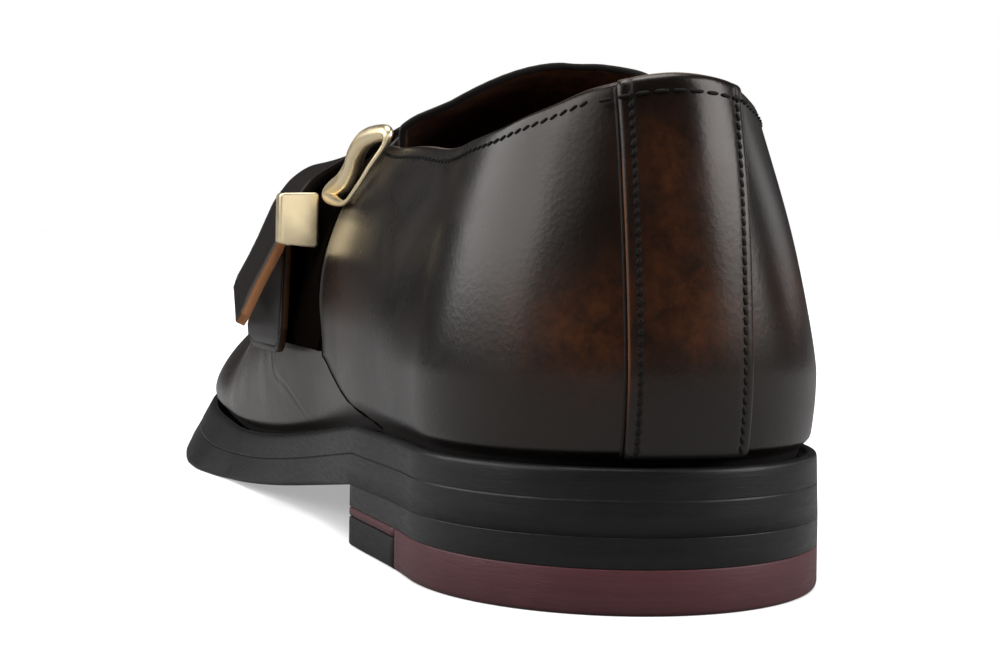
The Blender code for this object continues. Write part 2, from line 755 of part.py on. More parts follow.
def main():
    for obj in list(bpy.data.objects):
        bpy.data.objects.remove(obj, do_unlink=True)
    shoe = bpy.data.collections.new("monk_strap_shoe")
    bpy.context.scene.collection.children.link(shoe)
    for make in (make_sole, make_insole, make_upper, make_back_stay, make_tongue,
                 make_side_tab, make_flap, make_strap, make_bar, make_link):
        make(shoe)
    hang_on_root(shoe)


main()
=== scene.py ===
"""Leather, stitching, sole edges and gold buckle of the left monk-strap shoe.

Shapes are worked out in millimetres in the shoe's own axes, with the back of the heel
at y = 0, the ground at z = 0, the toe along +y and the inner side of the foot along +x.
"""
import math

import bmesh
import bpy
import numpy as np
from mathutils import Matrix, Vector


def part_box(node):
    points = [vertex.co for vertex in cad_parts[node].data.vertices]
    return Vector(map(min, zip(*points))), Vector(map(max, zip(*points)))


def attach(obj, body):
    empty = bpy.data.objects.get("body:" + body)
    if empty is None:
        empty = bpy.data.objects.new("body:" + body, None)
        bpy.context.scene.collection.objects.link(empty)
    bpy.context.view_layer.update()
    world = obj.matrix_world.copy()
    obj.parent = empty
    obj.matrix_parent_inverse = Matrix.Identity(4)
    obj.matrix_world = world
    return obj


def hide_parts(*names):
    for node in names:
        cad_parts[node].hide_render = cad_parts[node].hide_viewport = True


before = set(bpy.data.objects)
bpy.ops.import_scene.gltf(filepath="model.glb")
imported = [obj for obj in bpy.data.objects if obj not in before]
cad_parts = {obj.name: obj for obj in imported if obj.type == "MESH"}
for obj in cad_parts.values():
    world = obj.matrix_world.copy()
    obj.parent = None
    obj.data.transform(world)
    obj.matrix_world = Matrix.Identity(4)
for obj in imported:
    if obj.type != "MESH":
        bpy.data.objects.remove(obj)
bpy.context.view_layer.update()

MM = 0.001
QUARTER_TURN = math.pi / 2
OUTER, INNER = -1.0, 1.0

# ---- the last, millimetres ------------------------------------------------------
LENGTH = 298.0
HEEL_HALF_WIDTH = 33.1
HEEL_ARC_DEPTH = 38.5
BALL_Y = 200.0
HEEL_BREAST_Y = 74.0
TIP_SHIFT = 7.0
TOE_FULLNESS = 2.3
HEEL_SEAT_Z = 11.4
SHANK_Z = 10.6
TREAD_START, TREAD_END = 176.0, 200.0
TOE_SPRING = 9.3
OUTSOLE_THICK = 5.4
MIDSOLE_THICK = 4.3
LIFT_THICK = 6.8
LIFT_SKIN = 1.7
INSERT_REAR_Y = 47.0
INSOLE_THICK = 2.8
WALL = 1.7
QUARTER_STEP = 1.2
GAP = 0.3
WIDEST_X = 47.6                  # inner edge of the outsole at the ball

U_HEEL, U_BALL = 0.2, 0.7        # share of a side's outline at the ends of its middle
Y_PER_U = (BALL_Y - HEEL_ARC_DEPTH) / (U_BALL - U_HEEL)

# Half widths of the tread between the round of the heel and the round of the toe.
OUTLINE = {
    "y": (38.5, 74.0, 100.0, 128.0, 160.0, 185.0, 200.0),
    "outer": (33.1, 35.6, 36.6, 39.6, 44.2, 47.0, 47.4),
    "inner": (33.1, 34.2, 30.6, 28.4, 35.0, 44.6, 47.6),
}
# How far each contour lies inside the tread outline.
INSETS = {
    "u": (0.0, 0.2, 0.31, 0.477, 0.576, 0.7, 0.85, 1.0),
    "flare": (0.3, 0.3, 0.6, 1.6, 3.6, 5.8, 6.0, 4.4),
    "feather": (4.0, 2.7, 2.9, 3.2, 5.2, 7.6, 7.8, 7.0),
    "wide": (2.2, 1.7, 2.2, 2.0, 4.0, 6.6, 6.8, 5.6),
}
# Ridge of the last seen from the side, only virtual behind the throat.
RIDGE = {
    "y": (38.5, 74.0, 94.0, 110.0, 128.0, 142.0, 160.0, 181.0, 200.0, 225.0, 250.0, 268.0),
    "z": (114.0, 96.0, 89.0, 83.6, 77.0, 73.0, 67.6, 60.8, 55.0, 48.4, 43.6, 40.6),
    "x": (0.0, 5.0, 7.0, 6.5, 5.0, 4.0, 3.5, 3.0, 3.0, 3.5, 5.0, 6.0),
}
# Each rib: height of its widest line above the welt, and how square its shoulders are.
SECTION = {
    "u": (0.0, 0.1, 0.2, 0.31, 0.37, 0.477, 0.576, 0.7, 0.85, 1.0),
    "rise": (14.0, 13.0, 12.0, 13.0, 14.0, 13.0, 9.0, 4.5, 3.5, 4.0),
    "lean": (1.3, 1.3, 1.3, 2.2, 2.8, 2.1, 1.9, 1.5, 1.6, 2.2),
    "outer": (0.27, 0.46, 0.65, 0.60, 0.60, 0.50, 0.52, 0.75, 0.85, 0.56),
    "inner": (0.27, 0.62, 0.80, 0.68, 0.60, 0.50, 0.52, 0.58, 0.60, 0.54),
}
# Height of the collar and of the edge before the throat.
TOPLINE = {
    "u": (0.0, 0.058, 0.092, 0.118, 0.145, 0.2, 0.235, 0.258, 0.28, 0.295, 0.31, 0.335, 0.36,
          0.406, 0.446, 0.477),
    "outer": (79.3, 77.1, 74.4, 72.6, 70.9, 69.0, 67.8, 67.9, 68.6, 69.1, 69.7, 70.7, 71.9,
              75.2, 77.2, 77.2),
    "inner": (79.3, 78.0, 76.6, 75.4, 74.4, 73.2, 73.0, 72.9, 72.8, 73.1, 73.6, 74.8, 76.0,
              77.2, 77.8, 77.0),
}
U_THROAT = 0.477
QUARTER_FRONT_U = 0.3223
# How far the quarters' front edge bows ahead of a straight rib.
QUARTER_BOW = {
    "level": (-1.0, -0.9, -0.8, -0.55, -0.3, 0.0, 0.08, 0.16, 0.30, 0.45, 0.62),
    "forward": (-13.0, -6.0, -1.0, 8.8, 16.2, 24.0, 28.5, 30.0, 25.5, 13.5, 0.0),
}


def smooth(table, column, at):
    """Values of a table's column between its rows, along a monotone cubic."""
    xs = np.array(next(iter(table.values())), float)
    ys = np.array(table[column], float)
    at = np.clip(np.asarray(at, float), xs[0], xs[-1])
    steps = np.diff(xs)
    rise = np.diff(ys) / steps
    slopes = np.zeros(len(xs))
    for i in range(1, len(xs) - 1):
        if rise[i - 1] * rise[i] > 0:
            slopes[i] = 2 / (1 / rise[i - 1] + 1 / rise[i])
    i = np.clip(np.searchsorted(xs, at, side="right") - 1, 0, len(steps) - 1)
    t = (at - xs[i]) / steps[i]
    return ((1 + 2 * t) * (1 - t) ** 2 * ys[i] + t * (1 - t) ** 2 * steps[i] * slopes[i]
            + t * t * (3 - 2 * t) * ys[i + 1] - t * t * (1 - t) * steps[i] * slopes[i + 1])


def by_side(side, table, at):
    """Values of a table that has a column for each side of the shoe."""
    return np.where(side < 0, smooth(table, "outer", at), smooth(table, "inner", at))


def ease(value):
    """Soft step from 0 to 1."""
    value = np.clip(value, 0.0, 1.0)
    return value * value * (3 - 2 * value)


def u_of_y(y):
    """Place along the straight part of a side."""
    return U_HEEL + (y - HEEL_ARC_DEPTH) / Y_PER_U


def side_place(u):
    """y along the straight part of a side."""
    return HEEL_ARC_DEPTH + (np.clip(u, U_HEEL, U_BALL) - U_HEEL) * Y_PER_U


def toe_place(u, tip):
    """Turn round the toe, and y there on a curve that ends at the tip."""
    turn = np.clip((u - U_BALL) / (1 - U_BALL), 0, 1) * QUARTER_TURN
    return turn, BALL_Y + (tip - BALL_Y) * np.sin(turn) ** (2 / TOE_FULLNESS)


def outline(side, u, inset=0.0):
    """Points of the tread outline, moved inwards by the inset."""
    side, u, inset = np.broadcast_arrays(np.asarray(side, float), np.asarray(u, float),
                                         np.asarray(inset, float))
    turn = np.clip(u / U_HEEL, 0, 1) * QUARTER_TURN
    heel_x = side * (HEEL_HALF_WIDTH - inset) * np.sin(turn)
    heel_y = HEEL_ARC_DEPTH - (HEEL_ARC_DEPTH - inset) * np.cos(turn)
    side_y = side_place(u)
    side_x = side * (by_side(side, OUTLINE, side_y) - inset)
    turn, toe_y = toe_place(u, LENGTH - inset)
    half = (by_side(side, OUTLINE, BALL_Y) - inset) * np.cos(turn)
    toe_x = TIP_SHIFT * (1 - np.cos(turn)) + side * half
    heel, toe = u < U_HEEL, u > U_BALL
    return (np.where(heel, heel_x, np.where(toe, toe_x, side_x)),
            np.where(heel, heel_y, np.where(toe, toe_y, side_y)))


def sole_bottom(y):
    """Height of the outsole's underside."""
    y = np.asarray(y, float)
    t = np.clip((y - HEEL_BREAST_Y) / (TREAD_START - HEEL_BREAST_Y), 0, 1)
    arch = SHANK_Z * (1 - t) ** 1.9 * (1 + 0.66 * t)
    seat = HEEL_SEAT_Z + (SHANK_Z - HEEL_SEAT_Z) * y / HEEL_BREAST_Y
    spring = TOE_SPRING * (np.maximum(y - TREAD_END, 0) / (LENGTH - TREAD_END)) ** 2
    return np.where(y <= HEEL_BREAST_Y, seat, arch + spring)


def midsole_bottom(y):
    return sole_bottom(y) + OUTSOLE_THICK + GAP


def sole_top(y):
    return midsole_bottom(y) + MIDSOLE_THICK


def apex(u):
    """Points of the ridge that the ribs of the last run up to."""
    y = np.where(u > U_BALL, toe_place(u, RIDGE["y"][-1])[1], side_place(u))
    return smooth(RIDGE, "x", y), y, smooth(RIDGE, "z", y)


def wide_height(side, u):
    """Height of a rib's widest line."""
    y = outline(side, u, smooth(INSETS, "wide", u))[1]
    return sole_top(y) + smooth(SECTION, "rise", u)


def last_point(side, u, level):
    """Points of the last: level -1 at the feather edge, 0 at the widest, 1 on the ridge."""
    wide_x, wide_y = outline(side, u, smooth(INSETS, "wide", u))
    wide_z = wide_height(side, u)
    foot_x, foot_y = outline(side, u, smooth(INSETS, "feather", u))
    foot_z = sole_top(foot_y) + GAP
    low = np.clip(level, -1, 0)
    share = 1 - low * low
    top_x, top_y, top_z = apex(u)
    turn = np.clip(level, 0, 1) * QUARTER_TURN
    rise = np.sin(turn) ** (2 / smooth(SECTION, "lean", u))
    reach = np.abs(np.cos(turn)) ** (2 * by_side(side, SECTION, u))
    reach = np.where(level >= 1, 0.0, reach)
    below = level <= 0
    return np.stack((
        np.where(below, foot_x + (wide_x - foot_x) * share, top_x + (wide_x - top_x) * reach),
        np.where(below, foot_y + (wide_y - foot_y) * share, top_y + (wide_y - top_y) * reach),
        np.where(below, foot_z + (wide_z - foot_z) * (1 + low),
                 wide_z + (top_z - wide_z) * rise)), axis=-1)


def level_at(side, u, z):
    """Levels of the ribs' points at a height above their widest line."""
    wide_z = wide_height(side, u)
    share = np.clip((z - wide_z) / (apex(u)[2] - wide_z), 0, 1)
    return np.arcsin(share ** (smooth(SECTION, "lean", u) / 2)) / QUARTER_TURN


def top_level(side, u):
    """Levels at which the wall ends: the collar, the throat line or the ridge."""
    edge = level_at(side, u, by_side(side, TOPLINE, u))
    return np.where(u >= U_THROAT, 1.0, edge)


def bowed(u, level):
    """Places along the side of a rib's points: ribs bow with the quarters' front edge."""
    back = (u - U_HEEL) / (QUARTER_FRONT_U - U_HEEL)
    front = (U_BALL - u) / (U_BALL - QUARTER_FRONT_U)
    share = ease(np.where(u < QUARTER_FRONT_U, back, front))
    return u + share * smooth(QUARTER_BOW, "forward", level) / Y_PER_U


def wall_point(s, level):
    """Points of the upper's wall at signed places s along the outline, outer side below 0."""
    u = np.clip(np.abs(s), 0, 1)
    return last_point(np.where(s < 0, OUTER, INNER), bowed(u, level), level)


def unit(vectors):
    return vectors / np.maximum(np.linalg.norm(vectors, axis=-1, keepdims=True), 1e-9)


NEAR_S, NEAR_LEVEL = 0.0015, 0.006    # steps over which the wall's slope is taken


def wall_normal(s, level):
    """Outward normals of the wall."""
    ahead = (wall_point(np.clip(s + NEAR_S, -1, 1), level)
             - wall_point(np.clip(s - NEAR_S, -1, 1), level))
    top = np.minimum(level + NEAR_LEVEL, 1.0)
    low = np.maximum(level - NEAR_LEVEL, -1.0)
    return unit(np.cross(ahead, wall_point(s, top) - wall_point(s, low)))


def wall_at(s, level):
    """Points of the wall and its normals there."""
    return wall_point(s, level), wall_normal(s, level)


# ---- mesh work ------------------------------------------------------------------
SOLE_LOW, SOLE_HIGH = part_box("outsole")
TO_FRAME = np.array((SOLE_HIGH.x / MM - WIDEST_X, SOLE_LOW.y / MM, 0.0))


def show(name, data):
    """Object of this data, in the scene."""
    obj = bpy.data.objects.new(name, data)
    bpy.context.scene.collection.objects.link(obj)
    return obj


def piece(name, points, faces, material, stands_for=(), marks=None, closed=True,
          weld=0.02):
    """One piece of the shoe from points in millimetres, riding on the shoe's body.

    Marks are numbers for all points, or rows of numbers that fit the points.
    """
    mesh = bpy.data.meshes.new(name)
    placed = (np.asarray(points, float).reshape(-1, 3) + TO_FRAME) * MM
    mesh.from_pydata(placed.tolist(), [], faces)
    for mark, values in (marks or {}).items():
        layer = mesh.attributes.new(mark, "FLOAT", "POINT")
        values = np.broadcast_to(np.asarray(values, float), np.shape(points)[:-1])
        layer.data.foreach_set("value", values.ravel())
    work = bmesh.new()
    work.from_mesh(mesh)
    bmesh.ops.remove_doubles(work, verts=work.verts, dist=weld * MM)
    bmesh.ops.dissolve_degenerate(work, edges=work.edges, dist=0.001 * MM)
    if closed:
        bmesh.ops.recalc_face_normals(work, faces=work.faces)
    work.to_mesh(mesh)
    work.free()
    mesh.shade_smooth()
    mesh.materials.append(material)
    obj = show(name, mesh)
    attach(obj, "root")
    if stands_for:
        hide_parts(*stands_for)
    return obj


def grid_faces(rows, columns, start=0, flip=False, ring=False):
    """Quads of a grid; with ring the last column joins the first."""
    r = np.arange(rows - 1)[:, None]
    c = np.arange(columns if ring else columns - 1)[None, :]
    d = (c + 1) % columns
    quads = np.stack(np.broadcast_arrays(r * columns + c, r * columns + d,
                                         (r + 1) * columns + d, (r + 1) * columns + c), -1)
    quads = quads.reshape(-1, 4) + start
    return (quads[:, ::-1] if flip else quads).tolist()


def capped_rings(rings):
    """Points and faces of a solid from its rings, closed at both ends."""
    rings = np.array(rings)
    count = rings.shape[1]
    faces = grid_faces(len(rings), count, ring=True)
    last = (len(rings) - 1) * count
    faces += [list(range(count - 1, -1, -1)), list(range(last, last + count))]
    return rings.reshape(-1, 3), faces


def joined(parts):
    """Several (points, faces) as one."""
    points, faces, start = [], [], 0
    for some, their_faces in parts:
        points.append(some)
        faces += [[v + start for v in face] for face in their_faces]
        start += len(some)
    return np.concatenate(points), faces


def curve_through(knots, at):
    """Smooth curve through rows of knots, at fractional places."""
    knots = np.asarray(knots, float)
    at = np.clip(np.asarray(at, float), 0, len(knots) - 1)
    i = np.clip(at.astype(int), 0, len(knots) - 2)
    t = (at - i).reshape((-1,) + (1,) * (knots.ndim - 1))
    padded = np.concatenate((2 * knots[:1] - knots[1:2], knots, 2 * knots[-1:] - knots[-2:-1]))
    a, b, c, d = padded[i], padded[i + 1], padded[i + 2], padded[i + 3]
    return 0.5 * (2 * b + (c - a) * t + (2 * a - 5 * b + 4 * c - d) * t * t
                  + (3 * b - a - 3 * c + d) * t ** 3)


def surface_through(net, rows, columns):
    """Smooth surface through a net of knots."""
    return curve_through(curve_through(net, rows).swapaxes(0, 1), columns).swapaxes(0, 1)


def length_along(points):
    """Length of a path up to each of its points."""
    return np.concatenate(([0.0], np.cumsum(np.linalg.norm(np.diff(points, axis=0), axis=1))))


def at_stops(stops, along, rows):
    """Rows of numbers read off at distances along a path."""
    return np.column_stack([np.interp(stops, along, column) for column in rows.T])


def runs(start, *parts):
    """Even steps from the start through several ends, each given with its count."""
    steps = []
    for end, count in parts:
        steps.append(np.linspace(start, end, count)[:-1])
        start = end
    return np.concatenate(steps + [[start]])


def edge_stops(size, pitch, low, high, bevel, line=0.0):
    """Places across a sheet, in shares of its size, with their heights: round edges.

    With line, a groove that far from the edge is pressed into the face.
    """
    near = [0.0, 0.0, 0.13 * bevel, 0.5 * bevel, bevel]
    rise = [low, high - bevel, high - 0.5 * bevel, high - 0.134 * bevel, high]
    if line:
        near += [line - 0.45, line - 0.2, line, line + 0.2, line + 0.45]
        rise += [high, high - 0.09, high - 0.15, high - 0.09, high]
    count = max(2, int(round((size - 2 * near[-1]) / pitch)))
    middle = np.linspace(near[-1], size - near[-1], count + 1)[1:-1]
    places = near + list(middle) + [size - n for n in reversed(near)]
    return np.array(places) / size, np.array(rise + [high] * len(middle) + rise[::-1])


def two_faces(top, under):
    """Points and faces of a thin piece, from grids of its upper and its under face."""
    rows, columns = top.shape[:2]
    faces = grid_faces(rows, columns) + grid_faces(rows, columns, start=rows * columns, flip=True)
    return np.concatenate((top.reshape(-1, 3), under.reshape(-1, 3))), faces


NET_STEP = 0.04                  # share of a net's row over which its slope is taken


def sheet(net, low, high, pitch, bevel, line=0.0):
    """Closed sheet of leather over a net of points, from low to high above it."""
    net = np.asarray(net, float)
    rows, columns = net.shape[:2]
    tall = length_along(net[:, columns // 2])[-1]
    wide = length_along(net[rows // 2])[-1]
    bevel = min(bevel, 0.9 * (high - low))
    row_at, row_high = edge_stops(tall, pitch, low, high, bevel, line)
    column_at, column_high = edge_stops(wide, pitch, low, high, bevel, line)
    row_at, column_at = row_at * (rows - 1), column_at * (columns - 1)
    points = surface_through(net, row_at, column_at)
    ahead = (surface_through(net, row_at + NET_STEP, column_at)
             - surface_through(net, row_at - NET_STEP, column_at))
    aside = (surface_through(net, row_at, column_at + NET_STEP)
             - surface_through(net, row_at, column_at - NET_STEP))
    normals = unit(np.cross(ahead, aside))
    if np.sum(normals * (points - np.array((0.0, LENGTH / 2, 20.0)))) < 0:
        normals = -normals
    height = np.minimum(row_high[:, None], column_high[None, :])
    cut = np.clip((high - 0.16 - height) / max(high - low, 1e-6) * 3.0, 0, 1)
    marks = {"cut": np.concatenate((cut.ravel(), np.ones(cut.size)))}
    return *two_faces(points + normals * height[..., None], points + normals * low), marks


# Along a stitch, in shares of its length, with its thickness there.
STITCH_SECTION = ((-0.5, 0.3), (-0.4, 0.8), (-0.15, 1.0), (0.15, 1.0), (0.4, 0.8), (0.5, 0.3))
STITCH_SINK = 0.35               # share of its height that a stitch lies in the leather


def stitches(path, normals, pitch, length, wide, high, turn=0.0):
    """Row of short thread capsules along a path: points and faces."""
    path, normals = np.asarray(path, float), unit(np.asarray(normals, float))
    along = length_along(path)
    count = max(1, int(along[-1] / pitch))
    stops = (np.arange(count) + 0.5) * along[-1] / count
    spot = at_stops(stops, along, path)
    up = unit(at_stops(stops, along, normals))
    ahead = at_stops(stops, along, np.gradient(path, axis=0))
    ahead = unit(ahead - up * np.sum(ahead * up, axis=1, keepdims=True))
    aside = np.cross(up, ahead)
    ahead, aside = (ahead * math.cos(turn) + aside * math.sin(turn),
                    aside * math.cos(turn) - ahead * math.sin(turn))
    sides = 6
    angles = (np.arange(sides) + 0.5) * 2 * math.pi / sides
    shape, faces = capped_rings([
        [(t * length, r * wide / 2 * math.cos(a), r * high / 2 * math.sin(a)) for a in angles]
        for t, r in STITCH_SECTION])
    points = (spot[:, None] + shape[None, :, :1] * ahead[:, None]
              + shape[None, :, 1:2] * aside[:, None]
              + (shape[None, :, 2:] + high * (0.5 - STITCH_SINK)) * up[:, None])
    return joined([(stitch, faces) for stitch in points])


FOLD_END = 0.3                   # share of a fold's length over which it fades out
FOLD_SHOULDER = 0.4              # height of a fold's shoulders against its depth


def crease(points, path, depth, wide):
    """Height of a soft fold along a path: a trough between two low shoulders."""
    path = np.asarray(path, float)
    flat = points.reshape(-1, 3)
    near = np.full(len(flat), 1e9)
    place = np.zeros(len(flat))
    along = length_along(path)
    for i in range(len(path) - 1):
        run = path[i + 1] - path[i]
        t = np.clip((flat - path[i]) @ run / (run @ run), 0, 1)
        gap = np.linalg.norm(flat - path[i] - t[:, None] * run, axis=1)
        closer = gap < near
        near = np.where(closer, gap, near)
        place = np.where(closer, (along[i] + t * (along[i + 1] - along[i])) / along[-1], place)
    taper = ease(place / FOLD_END) * ease((1 - place) / FOLD_END)
    trough = np.exp(-(near / wide) ** 2)
    ridge = np.exp(-((near - 2.0 * wide) / (0.9 * wide)) ** 2)
    return (taper * depth * (FOLD_SHOULDER * ridge - trough)).reshape(points.shape[:-1])


def soft_spots(points, spots):
    """Strength of soft round patches, each given by its centre, radius and strength."""
    total = np.zeros(points.shape[:-1])
    for x, y, z, radius, strength in spots:
        gap = np.linalg.norm(points - np.array((x, y, z)), axis=-1)
        total += strength * np.exp(-(gap / radius) ** 2)
    return total


# ---- finishes -------------------------------------------------------------------
class Bench:
    """Sets out the nodes of one tree."""

    def __init__(self, tree):
        self.tree = tree

    def feed(self, socket, value):
        """Links a node's output to the socket, or sets a plain value."""
        if isinstance(value, bpy.types.NodeSocket):
            self.tree.links.new(value, socket)
        else:
            socket.default_value = value

    def put(self, kind, inputs=None, **settings):
        node = self.tree.nodes.new("ShaderNode" + kind)
        for key, value in settings.items():
            setattr(node, key, value)
        for key, value in (inputs or {}).items():
            self.feed(node.inputs[key], value)
        return node

    def math(self, operation, a, b, clamp=False):
        return self.put("Math", {0: a, 1: b}, operation=operation, use_clamp=clamp).outputs[0]

    def span(self, value, low, high, to_low=0.0, to_high=1.0):
        return self.put("MapRange", {"Value": value, "From Min": low, "From Max": high,
                                     "To Min": to_low, "To Max": to_high}).outputs["Result"]

    def mix(self, share, a, b):
        node = self.put("Mix", data_type="RGBA")
        for index, value in ((0, share), (6, a), (7, b)):
            self.feed(node.inputs[index], value)
        return node.outputs[2]

    def noise(self, where, scale, detail=2.0, roughness=0.5, distortion=0.0):
        return self.put("TexNoise", {"Vector": where, "Scale": scale, "Detail": detail,
                                     "Roughness": roughness,
                                     "Distortion": distortion}).outputs[0]


def new_group(name, inputs, outputs):
    """Node group with float sockets, its bench and the two end nodes."""
    tree = bpy.data.node_groups.new(name, "ShaderNodeTree")
    for label, default in inputs.items():
        socket = tree.interface.new_socket(label, in_out="INPUT", socket_type="NodeSocketFloat")
        socket.default_value = default
    for label in outputs:
        tree.interface.new_socket(label, in_out="OUTPUT", socket_type="NodeSocketFloat")
    bench = Bench(tree)
    start = tree.nodes.new("NodeGroupInput")
    end = tree.nodes.new("NodeGroupOutput")
    where = bench.put("TexCoord").outputs["Object"]
    return tree, bench, start, end, where


def make_grain_group():
    """Fine pores and soft waves of calf leather."""
    tree, bench, start, end, where = new_group(
        "calf_grain", {"Pore Scale": 1100.0, "Pores": 0.5, "Waves": 0.06}, ("Height", "Pore"))
    warp = bench.put("TexNoise", {"Vector": where, "Scale": 420.0, "Detail": 1.0})
    bent = bench.put("VectorMath", {0: warp.outputs["Color"], "Scale": 0.0009},
                     operation="SCALE").outputs[0]
    spot = bench.put("VectorMath", {0: where, 1: bent}, operation="ADD").outputs[0]
    cell = bench.put("TexVoronoi", {"Vector": spot, "Scale": start.outputs["Pore Scale"]},
                     feature="F1").outputs["Distance"]
    pore = bench.math("MULTIPLY", cell, start.outputs["Pores"])
    grit = bench.math("MULTIPLY", bench.noise(where, 2600.0, 2.0, 0.6), 0.35)
    wave = bench.math("MULTIPLY", bench.noise(where, 190.0), start.outputs["Waves"])
    bench.feed(end.inputs["Height"], bench.math("ADD", bench.math("ADD", pore, grit), wave))
    bench.feed(end.inputs["Pore"], bench.span(cell, 0.1, 0.7))
    return tree


def make_mottle_group():
    """Cloudy variation left by hand polishing, at two scales, and fine scuffs."""
    tree, bench, start, end, where = new_group(
        "hand_polish", {"Cloud Scale": 60.0, "Scuff Scale": 240.0}, ("Cloud", "Smudge", "Scuff"))
    cloud = bench.noise(where, start.outputs["Cloud Scale"], 3.0, 0.55, 0.6)
    smudge = bench.noise(where, 330.0, 4.0, 0.65, 0.3)
    drawn = bench.put("Mapping", {"Vector": where, "Scale": (1.0, 0.25, 3.0),
                                  "Rotation": (0.5, 0.2, 0.35)}).outputs[0]
    scuff = bench.noise(drawn, start.outputs["Scuff Scale"], 4.0, 0.7)
    bench.feed(end.inputs["Cloud"], bench.span(cloud, 0.32, 0.68))
    bench.feed(end.inputs["Smudge"], bench.span(smudge, 0.35, 0.7))
    bench.feed(end.inputs["Scuff"], bench.span(scuff, 0.66, 0.78))
    return tree


def make_edge_group():
    """Faint lines of stacked layers, and the brushed look of a trimmed sole edge."""
    tree, bench, start, end, where = new_group(
        "trimmed_edge", {"Line Scale": 1500.0}, ("Line", "Brushed"))
    flat = bench.put("Mapping", {"Vector": where, "Scale": (0.02, 0.02, 1.0)}).outputs[0]
    line = bench.noise(flat, start.outputs["Line Scale"], 2.0, 0.6)
    brush = bench.put("Mapping", {"Vector": where, "Scale": (0.12, 0.12, 1.0)}).outputs[0]
    bench.feed(end.inputs["Line"], bench.span(line, 0.3, 0.7))
    bench.feed(end.inputs["Brushed"], bench.noise(brush, 2400.0, 3.0, 0.6))
    return tree


GRAIN = make_grain_group()
MOTTLE = make_mottle_group()
EDGE = make_edge_group()


def finish(name, **constants):
    """Material with its Principled shader, constants set on the shader's own sockets."""
    material = bpy.data.materials.new(name)
    material.use_nodes = True
    bench = Bench(material.node_tree)
    shader = material.node_tree.nodes["Principled BSDF"]
    for key, value in constants.items():
        shader.inputs[key.replace("_", " ")].default_value = value
    return material, bench, shader


def use_group(bench, tree, **values):
    """Outputs of a node group put on the bench."""
    node = bench.tree.nodes.new("ShaderNodeGroup")
    node.node_tree = tree
    for key, value in values.items():
        node.inputs[key.replace("_", " ")].default_value = value
    return node.outputs


def dress(bench, shader, colour, roughness, height, depth, strength=1.0):
    """Gives the shader its colour, roughness and relief."""
    relief = bench.put("Bump", {"Height": height, "Distance": depth, "Strength": strength})
    bench.feed(shader.inputs["Base Color"], colour)
    bench.feed(shader.inputs["Roughness"], roughness)
    bench.feed(shader.inputs["Normal"], relief.outputs[0])


def mark(bench, name):
    """Output that reads one of a piece's marks."""
    return bench.put("Attribute", attribute_name=name).outputs["Fac"]


def shade(*colour):
    return (*colour, 1.0)


SHEEN = (1.0, 0.92, 0.88)
# Black for ink and for painted shade.
INK_AND_SHADE = (0.0012, 0.0009, 0.0008)
GRAIN_DEPTH = 0.000024           # metres


def leather(name, dark, warm, scuff_and_highlight, cut, rough=(0.25, 0.32), gloss=0.5, pore_scale=1100.0):
    """Polished leather with marks: burnish warm, cut edges, a painted highlight along rolled edges,
    and black for ink and painted shade.
    """
    material, bench, shader = finish(name, Specular_Tint=shade(*SHEEN), Specular_IOR_Level=gloss)
    grain = use_group(bench, GRAIN, Pore_Scale=pore_scale)
    polish = use_group(bench, MOTTLE)
    burnish = mark(bench, "burnish")
    patchy = bench.math("MULTIPLY", burnish, bench.span(polish["Smudge"], 0, 1, 0.35, 1.3))
    patchy = bench.math("ADD", patchy, bench.span(polish["Cloud"], 0, 1, 0.0, 0.05), clamp=True)
    colour = bench.mix(patchy, shade(*dark), shade(*warm))
    colour = bench.mix(bench.math("MULTIPLY", polish["Scuff"], 0.06), colour, shade(*scuff_and_highlight))
    colour = bench.mix(bench.math("MULTIPLY", grain["Pore"], 0.18), colour,
                       shade(*(c * 0.55 for c in dark)))
    colour = bench.mix(mark(bench, "cut"), colour, shade(*cut))
    # Painted highlight: the rolled edges are lightened.
    colour = bench.mix(mark(bench, "wear_and_highlight"), colour, shade(*(c * 2.6 for c in scuff_and_highlight)))
    # Towards black: ink, and painted shade where the upper meets the welt, along the quarters'
    # front edges and beside the back stay.
    seam_and_shade = mark(bench, "seam_and_shade")
    colour = bench.mix(seam_and_shade, colour, shade(*INK_AND_SHADE))
    roughness = bench.span(polish["Cloud"], 0, 1, *rough)
    roughness = bench.math("ADD", roughness, bench.math("MULTIPLY", mark(bench, "cut"), 0.5))
    roughness = bench.math("ADD", roughness, bench.math("MULTIPLY", seam_and_shade, 0.35), clamp=True)
    dress(bench, shader, colour, roughness, grain["Height"], GRAIN_DEPTH)
    return material


BURNISHED_CALF = leather("burnished_calf", (0.0042, 0.0030, 0.0025), (0.055, 0.017, 0.0055),
                         (0.08, 0.06, 0.05), (0.34, 0.105, 0.026))
DARK_CALF = leather("dark_calf", (0.006, 0.0045, 0.004), (0.020, 0.010, 0.006),
                    (0.06, 0.045, 0.04), (0.98, 0.44, 0.20), rough=(0.30, 0.38), gloss=0.24)
# Near-black matte leather as painted shade, for the side tab and the strips over the quarters'
# front edges.
SHADE_BLACK_CALF = leather("shade_black_calf", (0.003, 0.0025, 0.002), (0.012, 0.006, 0.004),
                   (0.03, 0.02, 0.02), (0.1, 0.05, 0.02), rough=(0.45, 0.55), gloss=0.0)
TONGUE_CALF = leather("tongue_calf", (0.006, 0.0045, 0.004), (0.17, 0.085, 0.055),
                      (0.06, 0.035, 0.02), (0.012, 0.006, 0.004), rough=(0.36, 0.46), gloss=0.3)
LINING_CALF = leather("lining_calf", (0.090, 0.042, 0.024), (0.17, 0.085, 0.048),
                      (0.25, 0.14, 0.08), (0.13, 0.06, 0.03), rough=(0.5, 0.68),
                      pore_scale=1500.0)
FOOTBED_CALF = leather("footbed_calf", (0.085, 0.038, 0.020), (0.03, 0.015, 0.010),
                       (0.22, 0.12, 0.07), (0.10, 0.05, 0.03), rough=(0.45, 0.62),
                       pore_scale=1500.0)


